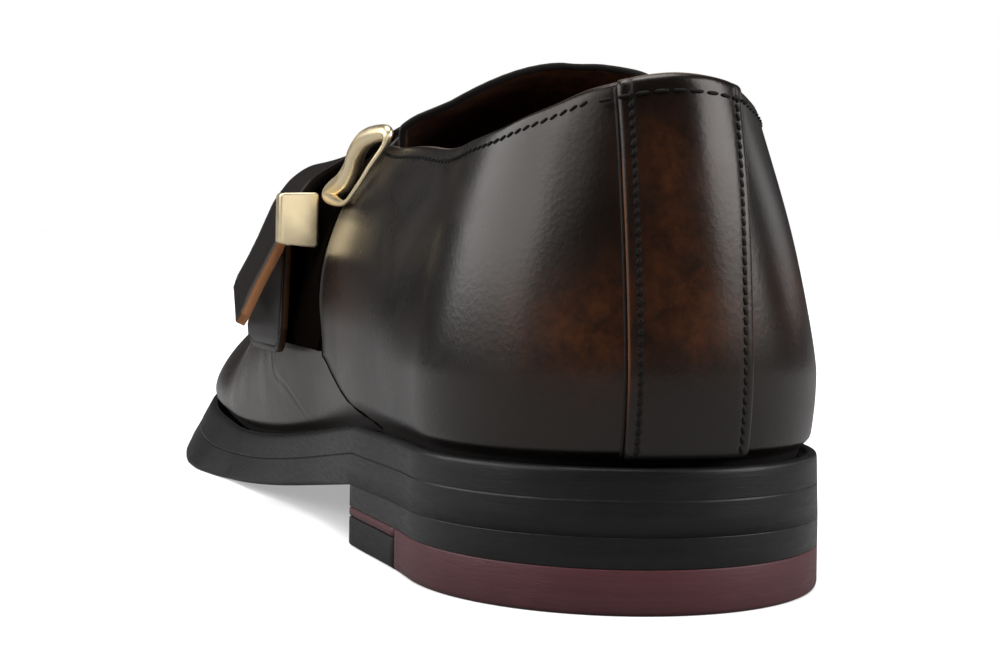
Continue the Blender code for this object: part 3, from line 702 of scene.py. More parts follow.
def sole_edge(name, dark, light, rough, line_scale=1500.0):
    """Dyed and brushed edge of a sole or heel."""
    material, bench, shader = finish(name, Specular_IOR_Level=0.32)
    edge = use_group(bench, EDGE, Line_Scale=line_scale)
    polish = use_group(bench, MOTTLE, Cloud_Scale=120.0)
    tone = bench.math("MULTIPLY", edge["Line"], 0.4)
    tone = bench.math("ADD", tone, bench.math("MULTIPLY", polish["Cloud"], 0.45), clamp=True)
    colour = bench.mix(tone, shade(*dark), shade(*light))
    colour = bench.mix(bench.math("MULTIPLY", polish["Scuff"], 0.2), colour,
                       shade(*(min(1.0, c * 3 + 0.02) for c in light)))
    dress(bench, shader, colour, bench.span(edge["Brushed"], 0.3, 0.7, *rough),
          edge["Brushed"], 0.00005, 0.8)
    return material


SOLE_BLACK = sole_edge("sole_black", (0.004, 0.004, 0.0042), (0.009, 0.009, 0.0092), (0.36, 0.46))
HEEL_BLACK = sole_edge("heel_black", (0.0035, 0.0035, 0.004), (0.008, 0.008, 0.0083), (0.32, 0.42),
                       line_scale=1100.0)
LIFT_BURGUNDY = sole_edge("lift_burgundy", (0.070, 0.022, 0.026), (0.094, 0.032, 0.038),
                          (0.42, 0.52), line_scale=700.0)
INSERT_BLACK = sole_edge("insert_black", (0.006, 0.006, 0.006), (0.010, 0.010, 0.010),
                         (0.5, 0.62))


def make_thread(name, dark, light):
    """Waxed thread with its twist."""
    material, bench, shader = finish(name, Specular_IOR_Level=0.25)
    where = bench.put("TexCoord").outputs["Object"]
    strand = bench.noise(where, 3200.0, 2.0, 0.6)
    colour = bench.mix(bench.span(strand, 0.35, 0.65), shade(*dark), shade(*light))
    dress(bench, shader, colour, bench.span(strand, 0.3, 0.7, 0.6, 0.8), strand, 0.00006, 0.7)
    return material


DARK_THREAD = make_thread("dark_thread", (0.0015, 0.0012, 0.001), (0.006, 0.0045, 0.004))
STAY_THREAD = make_thread("stay_thread", (0.0015, 0.0012, 0.001), (0.009, 0.007, 0.006))


def make_gold():
    """Polished pale gold plate with hairline marks."""
    material, bench, shader = finish("pale_gold", Metallic=1.0)
    polish = use_group(bench, MOTTLE, Cloud_Scale=90.0, Scuff_Scale=500.0)
    colour = bench.mix(polish["Cloud"], shade(0.93, 0.76, 0.47), shade(0.97, 0.83, 0.57))
    roughness = bench.span(polish["Smudge"], 0, 1, 0.33, 0.42)
    roughness = bench.math("ADD", roughness, bench.math("MULTIPLY", polish["Scuff"], 0.10))
    dress(bench, shader, colour, roughness, polish["Smudge"], 0.000012)
    return material


PALE_GOLD = make_gold()


# ---- upper ----------------------------------------------------------------------
def rib_stops(s, from_top, shares=()):
    """Levels of each rib at distances below its top, then at shares of what is left."""
    side, u = np.where(s < 0, OUTER, INNER), np.abs(s)
    fine = -1 + (top_level(side, u) + 1)[:, None] * np.linspace(1, 0, 140)[None]
    rows = []
    for place, levels in zip(s, fine):
        down = length_along(wall_point(np.full(len(levels), place), levels))
        rest = from_top[-1] + (down[-1] - from_top[-1]) * np.asarray(shares)
        rows.append(np.interp(np.concatenate((from_top, rest)), down, levels))
    return np.array(rows)


TUCK_IN, TUCK_DOWN = 0.3, 1.3    # how the wall's foot goes down into the welt
FOOT_RECESS = 1.5                # how far the foot of the wall draws in above the welt
WAIST_Y = 78.0                   # the recess is tallest here
ROLL = 1.15                      # depth of the rolled edge along the wall
ROLL_TURNS = np.linspace(math.pi, 0, 11)    # round the roll, from its inner face
TURN_IN = (2.3, 1.9, 1.5)        # the leather turned in over the edge, inside the shoe
LINING_LAP = 0.1                 # the turned-in leather stands this far off the lining


def foot_shadow(points, line=2.6):
    """Share of the painted contact shadow where the leather meets the welt."""
    y = points[..., 1]
    line = line * (1.1 + 0.9 * np.exp(-((y - WAIST_Y) / 30.0) ** 2))
    return ease((line - (points[..., 2] - sole_top(y))) / line)


def foot_recess(points):
    """How far the wall draws in where it meets the welt."""
    return FOOT_RECESS * foot_shadow(points, 2.5)


def rolled(low, high, before, after):
    """Heights down ribs that roll over from their inner to their outer face."""
    low, high = low[:, None], high[:, None]
    return np.concatenate((np.repeat(low, before, axis=1),
                           (high + low) / 2 + (high - low) / 2 * np.cos(ROLL_TURNS),
                           np.repeat(high, after, axis=1)), axis=1)


def leather_wall(s, high, count, waves):
    """Wall with a rolled top edge, closed along the ridge: points, their bases and faces."""
    down = np.concatenate((TURN_IN, ROLL * (1 - np.sin(ROLL_TURNS))))
    shares = 1 - np.linspace(1, 0, count + 1)[1:] ** 1.25
    points, normals = wall_at(s[:, None], rib_stops(s, down, shares))
    offset = rolled(np.full(len(s), -WALL + LINING_LAP), high, len(TURN_IN), count)
    # Where the wall is closed, what would be its rolled edge lies on the ridge.
    first = len(down) - 1
    ridge = np.abs(s) >= U_THROAT
    top, top_normal = wall_at(s, np.ones(len(s)))
    top_normal = unit(top_normal + top_normal[::-1])
    points[ridge, :first + 1] = top[ridge, None]
    normals[ridge, :first + 1] = top_normal[ridge, None]
    offset[ridge, :first + 1] = high[ridge, None]
    # The rolled edge itself is even; the waves begin below it.
    fade = np.ones(points.shape[:2])
    fade[~ridge, :first] = 0.0
    fade[~ridge, first:first + 4] = (0.1, 0.4, 0.75, 0.95)
    skin = waves(points) * fade - foot_recess(points)
    placed = points + normals * (offset + skin)[..., None]
    tuck = placed[:, -1:] - normals[:, -1:] * TUCK_IN - np.array((0.0, 0.0, TUCK_DOWN))
    placed = np.concatenate((placed, tuck), axis=1)
    points = np.concatenate((points, points[:, -1:]), axis=1)
    return placed, points, grid_faces(*points.shape[:2])


# Patches of warm burnish: x, y, z of the centre, radius and strength.
BURNISH_SPOTS = (
    (-3.4, 6.3, 69.0, 5.0, 0.5), (-2.0, 5.1, 62.8, 5.5, 0.8), (-2.0, 3.8, 53.0, 6.0, 0.7),
    (0.9, 2.8, 44.3, 6.0, 1.0), (1.8, 2.5, 39.5, 4.0, 0.6), (7.2, 3.8, 43.0, 5.0, 0.4),
    (-10.5, 5.0, 44.0, 7.0, 0.55), (-16.5, 8.0, 41.0, 7.0, 0.55), (-20.5, 12.0, 41.5, 6.0, 0.35),
    (-10.7, 4.6, 36.0, 5.0, 0.45), (-32.5, 88.0, 38.0, 9.0, 0.3),
    (20.6, 14.4, 46.0, 8.0, 0.5), (30.0, 42.0, 40.0, 12.0, 0.35), (32.0, 70.0, 44.0, 12.0, 0.3),
)


def body_waves(points):
    """Slight unevenness of hand-lasted leather."""
    x, y, z = points[..., 0], points[..., 1], points[..., 2]
    return (0.06 * np.sin(0.15 * y + 0.11 * z + 0.4) * np.sin(0.13 * z - 0.08 * x)
            + 0.03 * np.sin(0.23 * z + 0.12 * x - 0.09 * y + 1.1))


def on_wall(places):
    """Smooth path over the wall through (s, level) places."""
    places = curve_through(places, np.linspace(0, len(places) - 1, 14))
    return wall_point(places[:, 0], places[:, 1])


VAMP_CREASES = (
    # places on the wall (s, level), depth, half width
    (((-0.47, 0.20), (-0.46, 0.0), (-0.444, -0.25), (-0.443, -0.6), (-0.452, -0.95)), 0.07, 0.45),
    (((-0.49, 0.18), (-0.48, 0.0), (-0.468, -0.25), (-0.468, -0.6)), 0.05, 2.0),
    (((-0.57, 0.25), (-0.585, 0.50), (-0.60, 0.75), (-0.605, 0.98)), 0.40, 1.8),
    (((-0.63, 0.15), (-0.64, 0.42), (-0.65, 0.70), (-0.652, 0.95)), 0.35, 1.7),
    (((0.58, 0.30), (0.60, 0.55), (0.608, 0.80), (0.606, 0.99)), 0.40, 1.8),
    (((0.64, 0.20), (0.652, 0.45), (0.66, 0.75), (0.655, 0.97)), 0.32, 1.7),
)


def vamp_waves(points):
    """Unevenness and creases of the vamp."""
    height = body_waves(points)
    for places, depth, wide in VAMP_CREASES:
        height = height + crease(points, on_wall(places), depth, wide)
    return height


# Pressed line on the vamp: how far ahead of the quarter's edge, and how deep.
FINE_LINE, LINE_DEPTH = 1.9, 0.16


def make_vamp():
    """Vamp with its creases and the pressed line beside the quarters."""
    line = QUARTER_FRONT_U + FINE_LINE / Y_PER_U
    u = np.concatenate((np.linspace(QUARTER_FRONT_U - 0.012, line - 0.0025, 6),
                        line + np.array((-0.0012, -0.0006, 0.0, 0.0006, 0.0012)),
                        runs(line + 0.0025, (U_THROAT, 84), (U_BALL, 66), (1.0, 100))))
    s = np.concatenate((-u, u[::-1][1:]))
    high = np.where(np.abs(s) < QUARTER_FRONT_U + 0.0005, -0.05, 0.0)
    placed, base, faces = leather_wall(s, high, 84, vamp_waves)
    pressed = np.abs(np.abs(s) - line) < 0.0003
    below_roll = placed[pressed, 14:-2]
    placed[pressed, 14:-2] -= LINE_DEPTH * unit(below_roll - (0, BALL_Y, 10))
    burnish = 0.12 + 0.3 * ease((base[..., 1] - 225) / 45)
    # Darkened: the pressed line, and the vamp just ahead of the quarters' front edges as painted
    # shade under their step.
    ink_and_shade = np.maximum(0.8 * pressed, ease(1 - (np.abs(s) - QUARTER_FRONT_U) * Y_PER_U))
    piece("vamp", placed, faces, BURNISHED_CALF, ("upper",),
          {"burnish": burnish, "seam_and_shade": np.maximum(foot_shadow(base), ink_and_shade[:, None])},
          closed=False)


ROLL_HIGHLIGHT = (0.3, 0.8, 1.0, 0.5)  # painted highlight over the top of the roll
# Section of the quarter's front edge: distance back from it and height.
QUARTER_EDGE = ((-0.5, 0.0), (-0.5, 0.1), (-0.02, 0.1), (0.0, 0.6), (0.12, 0.95), (0.45, 1.14),
                (0.9, 1.2), (1.3, 1.2), (1.6, 1.2))


def make_quarters():
    """Quarters as a second layer of leather round the heel."""
    near, rise = np.array(QUARTER_EDGE).T
    near = near / Y_PER_U
    inside = QUARTER_FRONT_U - 0.006
    middle = runs(-inside, (-U_HEEL, 30), (U_HEEL, 104), (inside, 30))
    s = np.concatenate((-QUARTER_FRONT_U + near, middle, QUARTER_FRONT_U - near[::-1]))
    high = np.concatenate((rise, np.full(len(middle), QUARTER_STEP), rise[::-1]))
    placed, base, faces = leather_wall(s, high, 66, body_waves)
    burnish = soft_spots(base, BURNISH_SPOTS)
    # Painted shade along the quarters' front edges; foot_shadow adds the painted contact shadow at
    # the welt.
    ink_and_shade = ease((2.6 - (QUARTER_FRONT_U - np.abs(s)) * Y_PER_U) / 1.6)
    seam_and_shade = np.maximum(foot_shadow(base), ink_and_shade[:, None])
    # Painted highlight over the top of the roll.
    wear_and_highlight = np.zeros(burnish.shape[1])
    wear_and_highlight[7:11] = ROLL_HIGHLIGHT
    piece("quarters", placed, faces, BURNISHED_CALF, ("upper",),
          {"burnish": burnish, "seam_and_shade": seam_and_shade, "wear_and_highlight": wear_and_highlight}, closed=False)


# Section of the black strip of painted shade over the quarter's front edge: distance ahead of the
# edge and height.
SHADE_STRIP = ((1.25, -0.4), (1.25, 0.04), (1.0, 0.1), (0.55, 0.3), (0.2, 0.8), (0.02, 1.18),
              (-0.2, 1.29), (-0.5, 1.26), (-0.5, -0.4))


def make_quarter_edge_shade():
    """Black strips over the quarters' front edges where they lie on the vamp: painted shade of the
    step there.
    """
    parts = []
    for side in (OUTER, INNER):
        top = float(top_level(side, QUARTER_FRONT_U)) - 0.02
        levels = np.linspace(-0.97, top, 110)
        s = np.full(levels.shape, side * QUARTER_FRONT_U)
        seam_and_shade, out = wall_at(s, levels)
        forward = unit(np.cross(out, np.gradient(seam_and_shade, axis=0))) * -side
        skin = body_waves(seam_and_shade) - foot_recess(seam_and_shade)
        rings = []
        for ahead, height in SHADE_STRIP[::-1] if side > 0 else SHADE_STRIP:
            rings.append(seam_and_shade + forward * ahead + out * (height + skin)[:, None])
        parts.append(capped_rings(np.stack(rings, axis=1)))
    points, faces = joined(parts)
    piece("quarter_edges", points, faces, SHADE_BLACK_CALF, weld=0.001)


def make_lining():
    """Brown lining of the whole upper, its top edge below the turned-in leather."""
    u = runs(0.0, (U_HEEL, 40), (U_THROAT, 50), (1.0, 76))
    s = np.concatenate((-u[::-1], u[1:]))
    levels = rib_stops(s, (1.45, 1.5, 1.8, 2.4), np.linspace(0, 1, 38)[1:])
    points, normals = wall_at(s[:, None], levels)
    offset = np.full(levels.shape, -WALL - 0.25)
    offset[:, :3] = (-WALL, -WALL - 0.1, -WALL - 0.22)
    ridge = np.abs(s) >= U_THROAT
    points[ridge, :3] = wall_point(s[ridge], np.ones(ridge.sum()))[:, None]
    normals[ridge, :3] = (0, 0, 1)
    # Lighter patches up the lining, at the back and on both sides.
    wear_and_highlight = 0.5 * soft_spots(points, ((0, 4, 60, 22, 1.0), (-30, 40, 62, 18, 0.5),
                                     (30, 40, 64, 18, 0.5)))
    placed = points + normals * offset[..., None]
    piece("collar_lining", placed, grid_faces(*points.shape[:2], flip=True), LINING_CALF,
          ("upper",), {"burnish": wear_and_highlight}, closed=False)


STAY_HALF = 9.2
STAY_CENTRE = 0.8
STAY_HIGH = QUARTER_STEP + 1.15
STAY_ROW = 1.6                   # the stitched groove inside the stay's edges
STAY_LIP = 0.55                  # the lip outside them, black as painted shade
STAY_TAN = (24.0, 68.0)          # heights between which the cut edges show tan


def stay_place(share, level_share):
    """Places s and level of the wall under the back stay, at shares of its width and height."""
    x = STAY_CENTRE + share * STAY_HALF
    side = np.where(x > 0, INNER, OUTER)
    u = np.full(np.broadcast(share, level_share).shape, 1e-4)
    for _ in range(14):
        level = -0.9 + (top_level(side, u) + 0.9) * level_share
        here = np.abs(last_point(side, u, level)[..., 0])
        u = np.maximum(u, 1e-4) * np.abs(x) / np.maximum(here, 1e-6)
    return side * u, level


def make_back_stay():
    """Strip up the back of the heel, turned over the collar with its edge cut tan."""
    low, high, bevel = QUARTER_STEP - 0.1, STAY_HIGH, 0.6
    share, rise = edge_stops(2 * STAY_HALF, 0.8, low, high, bevel, STAY_ROW)
    # The stitched grooves carry painted shade, the bevels are cut, and a lip each side ends the
    # strip, black as painted shade.
    inside = 0.5 * bevel / STAY_HALF
    groove = (rise < high) & (share > inside) & (share < 1 - inside)
    share = share * 2 - 1
    lip = -1 - STAY_LIP / STAY_HALF
    lip = np.array((lip, lip, -1.002))
    share = np.concatenate((lip, share, -lip[::-1]))
    rise = np.concatenate(((low, low + 0.2, low + 0.2), rise, (low + 0.2, low + 0.2, low)))
    ink_and_shade = np.concatenate(((1, 1, 1), 0.6 * groove, (1, 1, 1)))
    edge_cut = np.where(groove | (rise[3:-3] >= high - 1e-6), 0.0,
                        np.clip((high - 0.1 - rise[3:-3]) * 1.6, 0, 1))
    edge_cut = np.concatenate((np.zeros(3), edge_cut, np.zeros(3)))
    share_grid, level_grid = np.meshgrid(share, np.linspace(1, 0, 70), indexing="ij")
    # Each rib is turned over the collar like the quarters under it, and even that far down.
    roll, count = ROLL + 0.5, 71
    turned = np.concatenate(((2.6, 2.2), roll * (1 - np.sin(ROLL_TURNS))))
    base, out = [], []
    for points, normals in zip(*wall_at(*stay_place(share_grid, level_grid))):
        down = length_along(points)
        stops = np.concatenate((turned, np.linspace(roll, down[-1], count + 1)[1:]))
        base.append(at_stops(stops, down, points))
        out.append(at_stops(stops, down, normals))
    base, out = np.array(base), unit(np.array(out))
    inner = np.full(len(share), -WALL)
    inner[7:-7] -= 0.12
    wave = body_waves(base)
    wave[:, :len(turned)] = 0
    height = rolled(inner, rise, 2, count) + wave - foot_recess(base)
    points = base + out * height[..., None]
    z = points[..., 2]
    cut = edge_cut[:, None] * ease((STAY_TAN[1] - z) / 5) * ease((z - STAY_TAN[0]) / 14)
    seam_and_shade = np.maximum(ink_and_shade[:, None], foot_shadow(points))
    # Painted highlight over the top of the roll.
    wear_and_highlight = np.zeros(cut.shape[1])
    wear_and_highlight[6:10] = ROLL_HIGHLIGHT
    burnish = soft_spots(points, BURNISH_SPOTS)
    piece("back_strip", points, grid_faces(*points.shape[:2], flip=True), BURNISHED_CALF,
          ("back_stay",),
          {"burnish": burnish, "cut": cut, "seam_and_shade": seam_and_shade, "wear_and_highlight": wear_and_highlight}, closed=False)


TONGUE = {"thick": 1.5, "clear": 0.75, "back": 94.0, "front": 140.0, "lap": 8.0,
          "outer_drop": -3.0, "inner_drop": 13.0, "flat_from": 113.0, "rises_over": 17.0,
          "brown": 7.0}
# Across the tongue's rear edge, outer side first: its places when flat and where it stands up
# beside the collar, and how far it stands up there.
TONGUE_FLAT = (-1.0, -0.98, -0.96, -0.94, -0.92, -0.90, -0.87, -0.83, -0.77, -0.68, -0.59,
               -0.50, -0.40, -0.30, -0.20, -0.10, 0.0, 0.10, 0.20, 0.30, 0.40, 0.50, 0.60,
               0.70, 0.79, 0.85, 0.88, 0.90, 0.915, 0.93, 0.945, 0.96, 0.98, 1.0)
TONGUE_STANDING = (-1.0, -0.96, -0.93, -0.91, -0.91, -0.905, -0.88, -0.835, -0.765, -0.67, -0.59,
                   -0.50, -0.40, -0.30, -0.20, -0.10, 0.0, 0.10, 0.20, 0.30, 0.40, 0.50, 0.60,
                   0.70, 0.79, 0.87, 0.93, 0.965, 0.935, 0.875, 0.83, 0.865, 0.93, 1.0)
TONGUE_RISE = (0.0, 0.0, 0.2, 1.0, 2.8, 4.3, 4.9, 4.4, 3.3, 1.6, 0.5,
               0.15, 0.0, 0.0, 0.0, 0.0, 0.0, 0.1, 0.5, 1.4, 2.6, 4.0, 5.8,
               8.0, 10.2, 12.0, 12.8, 11.6, 8.0, 3.4, -0.4, -1.4, -0.9, 0.0)


def make_tongue():
    """Tongue whose underside is brown near its black rim."""
    rows = []
    flat, standing = np.array(TONGUE_FLAT), np.array(TONGUE_STANDING)
    side = np.where(flat < 0, OUTER, INNER)
    drop = np.where(flat < 0, TONGUE["outer_drop"], TONGUE["inner_drop"])
    for r in range(15):
        back = TONGUE["back"] - drop * flat * flat
        y = back + (TONGUE["front"] - back) * r / 14
        share = ease((TONGUE["flat_from"] - y) / TONGUE["rises_over"])
        t = flat + (standing - flat) * share
        u = u_of_y(y)
        edge = np.where(u >= U_THROAT, apex(u)[2], last_point(side, u, top_level(side, u))[:, 2])
        lap = level_at(side, u, edge - TONGUE["lap"])
        row = last_point(side, u, 1 - (1 - lap) * np.abs(t))
        row[:, 2] += np.array(TONGUE_RISE) * share
        rows.append(row)
    high = -WALL - TONGUE["clear"]
    points, faces, marks = sheet(rows, high - TONGUE["thick"], high, 1.0, 0.6)
    half = len(points) // 2
    rim = np.tile(np.clip(marks["cut"][:half] * 3, 0, 1), 2)
    under = np.arange(len(points)) >= half
    x, y = points[:, 0], points[:, 1]
    edge_y = TONGUE["back"] - np.where(x < 7, -1.5, 0.022 * (x - 7) ** 2)
    # The underside's brown fades away from the rim: painted shade deeper under the tongue.
    near_rim = np.exp(-(np.maximum(y - edge_y, 0) / TONGUE["brown"]) ** 2)
    brown = np.where(under, (1 - rim) * (0.25 + 0.75 * near_rim), 0.0)
    piece("instep_tongue", points, faces, TONGUE_CALF, ("tongue",),
          {"burnish": brown, "seam_and_shade": rim})


# ---- fastening ------------------------------------------------------------------
DEEP_DYE = 0.1                   # burnish of the dark leather parts
STRAP = {"back": 119.5, "front": 146.0, "thick": 2.0, "base": 40.0, "sweep": 12.5,
         "reach": 60.0, "round": 2.5, "short": 7.4, "inked_above": 55.0, "tan_below": 57.0}
STRAP_FREE = {
    "x": (-31.1, -34.7, -36.7, -38.6, -40.0, -41.8, -43.8, -46.4, -49.7),
    "z": (67.0, 64.6, 62.3, 59.5, 56.4, 52.2, 48.0, 43.0, 35.6),
}


def taut(over, end):
    """Points of a band that follows the instep, then runs straight to the bar."""
    climb = np.arctan2(over[:, 2] - end[2], over[:, 0] - end[0])
    band = np.vstack((over[:int(np.argmax(climb)) + 1], end))
    along = length_along(band)
    return at_stops(np.linspace(0.0, along[-1], 8), along, band)


def strap_path(y):
    """Outer face of the strap across the shoe, inner side first."""
    share = np.linspace(1.0, 0.0, 10)
    u = u_of_y(y - STRAP["sweep"] * share * share)
    start = level_at(INNER, u, STRAP["base"])
    inner = last_point(INNER, u, start + (1 - start) * (1 - share))
    u = u_of_y(y)
    low = level_at(OUTER, u, STRAP["reach"])
    outer = last_point(OUTER, u, np.linspace(1.0, low, 16)[1:])
    points = np.vstack((inner, outer))
    ahead = unit(np.gradient(points[:, [0, 2]], axis=0))
    points[:, 0] += ahead[:, 1] * (GAP + STRAP["thick"])
    points[:, 2] -= ahead[:, 0] * (GAP + STRAP["thick"])
    free = np.column_stack((STRAP_FREE["x"], np.full(len(STRAP_FREE["x"]), y), STRAP_FREE["z"]))
    return np.vstack((points[:9], taut(points[9:], free[0]), free[1:]))


def corner_drop(edge, radius):
    """How far a round corner is cut back, at a distance from the side edge."""
    short = max(0.0, radius - edge)
    return radius - math.sqrt(max(radius ** 2 - short ** 2, 0.0))


def make_strap():
    """Strap over the instep, turned down over the bar to its free end."""
    rows = []
    for y in np.linspace(STRAP["back"], STRAP["front"], 15):
        path = strap_path(y)
        drop = corner_drop(min(y - STRAP["back"], STRAP["front"] - y), STRAP["round"])
        drop += STRAP["short"] * (y - STRAP["back"]) / (STRAP["front"] - STRAP["back"])
        # The free end is cut back at its corners and a little shorter in front.
        for place, share in ((-1, 1.0), (-2, 0.62), (-3, 0.25)):
            back = path[place - 1] - path[place]
            path[place] = path[place] + back / np.linalg.norm(back) * drop * share
        rows.append(path)
    points, faces, marks = sheet(rows, -STRAP["thick"], 0.0, 1.0, 0.45, 1.7)
    cut, z = marks["cut"], points[:, 2]
    piece("instep_strap", points, faces, DARK_CALF, ("strap",),
          {"burnish": DEEP_DYE, "seam_and_shade": cut * ease((z - STRAP["inked_above"]) / 3),
           "cut": cut * ease((STRAP["tan_below"] - z) / 2)})


SIDE_TAB = {
    "front": 147.0, "thick": 0.9, "corner": 3.0, "clear": 1.6, "edge_top": 60.0,
    "lifts_from": 115.0, "below_strap": 3.9,
    "z": (31.5, 34.5, 37.5, 40.5, 43.5, 46.0, 48.5, 51.0, 53.5, 56.0, 58.0, 60.0, 62.0, 64.5),
    "out": (-36.0, -36.0, -36.0, -35.8, -35.2, -34.6, -34.4, -33.8, -33.2, -33.1, -32.8, -29.6,
            -25.0, -19.5),
    "up": (31.5, 34.5, 37.5, 40.5, 43.5, 46.0, 48.5, 51.0, 53.5, 57.0, 60.2, 62.6, 64.0, 65.0),
}
FLAP = {"back": 121.0, "front": 145.5, "thick": 1.3, "corner": 5.0}
FLAP_FACE = {
    "z": (29.8, 31.5, 34.5, 38.0, 42.0, 46.0, 51.0),
    "rear": (-40.6, -40.6, -40.5, -40.4, -40.3, -40.2, -40.1),
    "front": (-43.0, -43.6, -43.7, -42.7, -41.2, -40.4, -40.1),
}


def quarter_front_y(z):
    """y of the outer quarter's front edge at a height."""
    level = 0.2
    for _ in range(8):
        u = bowed(QUARTER_FRONT_U, level)
        level = level_at(OUTER, u, z)
    return HEEL_ARC_DEPTH + (u - U_HEEL) * Y_PER_U


def make_side_tab():
    """Leather tab on the vamp that rises beside the bar and ends under the strap."""
    rows = []
    for share in np.linspace(0, 1, 22):
        row = []
        for k, z in enumerate(SIDE_TAB["z"]):
            start = quarter_front_y(min(z, SIDE_TAB["edge_top"])) + SIDE_TAB["clear"]
            y = start + (SIDE_TAB["front"] - start) * share
            drop = corner_drop(min(y - start, SIDE_TAB["front"] - y), SIDE_TAB["corner"])
            z += drop * max(0, 1 - k / 5)
            flat = last_point(OUTER, u_of_y(y), level_at(OUTER, u_of_y(y), z))
            lifted = np.array((SIDE_TAB["out"][k], y, SIDE_TAB["up"][k]))
            # The last rows follow the underside of the strap.
            if k >= len(SIDE_TAB["z"]) - 3:
                over = strap_path(min(max(y, STRAP["back"]), STRAP["front"]))[::-1]
                lifted[2] = np.interp(lifted[0], over[:, 0], over[:, 2])
                lifted[2] -= SIDE_TAB["below_strap"]
            lift = ease((y - SIDE_TAB["lifts_from"]) / 5.0) * ease((k - 3) / 3.0)
            row.append(flat * (1 - lift) + lifted * lift)
        rows.append(row)
    points, faces, _ = sheet(rows, GAP - 0.2, GAP + SIDE_TAB["thick"], 1.0, 0.4)
    # The tab's leather is near black and matte: painted shade under the flap and the strap.
    piece("side_patch", points, faces, SHADE_BLACK_CALF, ("side_tab",),
          {"burnish": DEEP_DYE})


def make_flap():
    """Short flap that hangs under the buckle, its lower corners round."""
    rows = []
    for share in np.linspace(0, 1, 21):
        y = FLAP["back"] + (FLAP["front"] - FLAP["back"]) * share
        drop = corner_drop(min(y - FLAP["back"], FLAP["front"] - y), FLAP["corner"])
        z = np.linspace(FLAP_FACE["z"][0], FLAP_FACE["z"][-1], 13)
        z = z + drop * (1 - np.linspace(0, 1, 13))
        rear, front = smooth(FLAP_FACE, "rear", z), smooth(FLAP_FACE, "front", z)
        rows.append(np.column_stack((rear + (front - rear) * share, np.full(13, y), z)))
    points, faces, marks = sheet(rows, -FLAP["thick"], 0.0, 0.9, 0.45, 1.5)
    piece("hanging_flap", points, faces, DARK_CALF, ("buckle_tab",),
          {"burnish": DEEP_DYE, "cut": 0.1 * marks["cut"]})


BAR = {"x": -35.6, "z": 55.2, "wide": 2.8, "tall": 5.2, "front": 148.5}
BAR_CAP = {"x": -38.6, "z": 56.1, "wide": 7.6, "tall": 10.2, "back": 113.4, "deep": 4.8}
# Sections of the cap and of the bar: y, how much smaller all round, radius of the corners.
CAP_RINGS = ((0.0, 0.5, 0.5), (0.04, 0.3, 0.6), (0.15, 0.1, 0.7), (0.3, 0.03, 0.8),
             (0.5, 0.0, 0.8), (BAR_CAP["deep"] - 0.3, 0.0, 0.8),
             (BAR_CAP["deep"] - 0.05, 0.15, 0.8), (BAR_CAP["deep"], 0.4, 0.6))
LINK = {
    "x": (-28.9, -30.6, -31.3, -31.3, -31.8, -33.0, -33.4, -32.6, -31.0, -29.3),
    "y": (80.5, 88.5, 94.5, 99.0, 103.5, 112.4, 96.5, 88.0, 83.0, 79.5),
    "z": (71.9, 71.2, 68.8, 65.8, 63.4, 61.0, 59.3, 62.1, 66.2, 69.8),
    "wide": (2.8, 3.7, 4.0, 4.2, 4.5, 3.4, 1.1, 1.0, 1.0, 1.2),
}
LINK_FACES = (-0.85, -0.35, 0.4)    # the way the link's broad side faces


def soft_corners(size, shrink, y, radius):
    """Ring of a rectangle with round corners, in the plane of one y."""
    half_wide = (size["wide"] - 2 * shrink) / 2 - radius
    half_tall = (size["tall"] - 2 * shrink) / 2 - radius
    ring = []
    for sx, sz, start in ((1, 1, 0), (-1, 1, 1), (-1, -1, 2), (1, -1, 3)):
        for k in range(5):
            turn = (start + k / 4) * QUARTER_TURN
            ring.append((size["x"] + sx * half_wide + radius * math.cos(turn), y,
                         size["z"] + sz * half_tall + radius * math.sin(turn)))
    return ring


def cap_point(x, y, z):
    """The cap is a little taller on its inner side; its outer edge is cut back."""
    across = (x - BAR_CAP["x"]) * 2 / BAR_CAP["wide"]
    z = BAR_CAP["z"] + (z - BAR_CAP["z"]) * (1 + 0.05 * across) - 0.15 * across
    cut_back = max(0.0, -across - 0.72) / 0.28 * 0.7
    return x, y + cut_back * (y < BAR_CAP["back"] + 2.0), z


def make_bar():
    """Heavy bar with a square cap, its edges bevelled and softened."""
    rings = []
    for along, shrink, radius in CAP_RINGS:
        ring = soft_corners(BAR_CAP, shrink, BAR_CAP["back"] + along, radius)
        rings.append([cap_point(*point) for point in ring])
    for y, shrink in ((BAR_CAP["back"] + BAR_CAP["deep"], 0.0), (BAR["front"] - 0.5, 0.0),
                      (BAR["front"] - 0.15, 0.15), (BAR["front"], 0.5)):
        rings.append(soft_corners(BAR, shrink, y, 0.7))
    points, faces = capped_rings(rings)
    obj = piece("gold_bar", points, faces, PALE_GOLD, ("buckle_bar",), weld=0.001)
    obj.data.set_sharp_from_angle(angle=math.radians(50))


def make_link():
    """Closed gold ring, its stout limb a smooth curve and its other limb slim."""
    knots = np.column_stack((LINK["x"], LINK["y"], LINK["z"], LINK["wide"]))
    count, total = len(knots), 140
    looped = np.vstack((knots[-2:], knots, knots[:3]))
    route = curve_through(looped, 2 + np.arange(total) * count / total)
    places, wide = route[:, :3], route[:, 3]
    ahead = np.roll(places, -1, axis=0) - np.roll(places, 1, axis=0)
    aside = unit(np.cross(ahead, LINK_FACES))
    lift = unit(np.cross(aside, ahead))
    sides = 20
    turns = np.arange(sides) * 2 * math.pi / sides
    points = (places[:, None] + wide[:, None, None] / 2 * (
        aside[:, None] * np.cos(turns)[None, :, None]
        + 0.85 * lift[:, None] * np.sin(turns)[None, :, None]))
    points = np.concatenate((points, points[:1]))
    piece("gold_link", points, grid_faces(total + 1, sides, ring=True), PALE_GOLD,
          ("buckle_link",), weld=0.005)


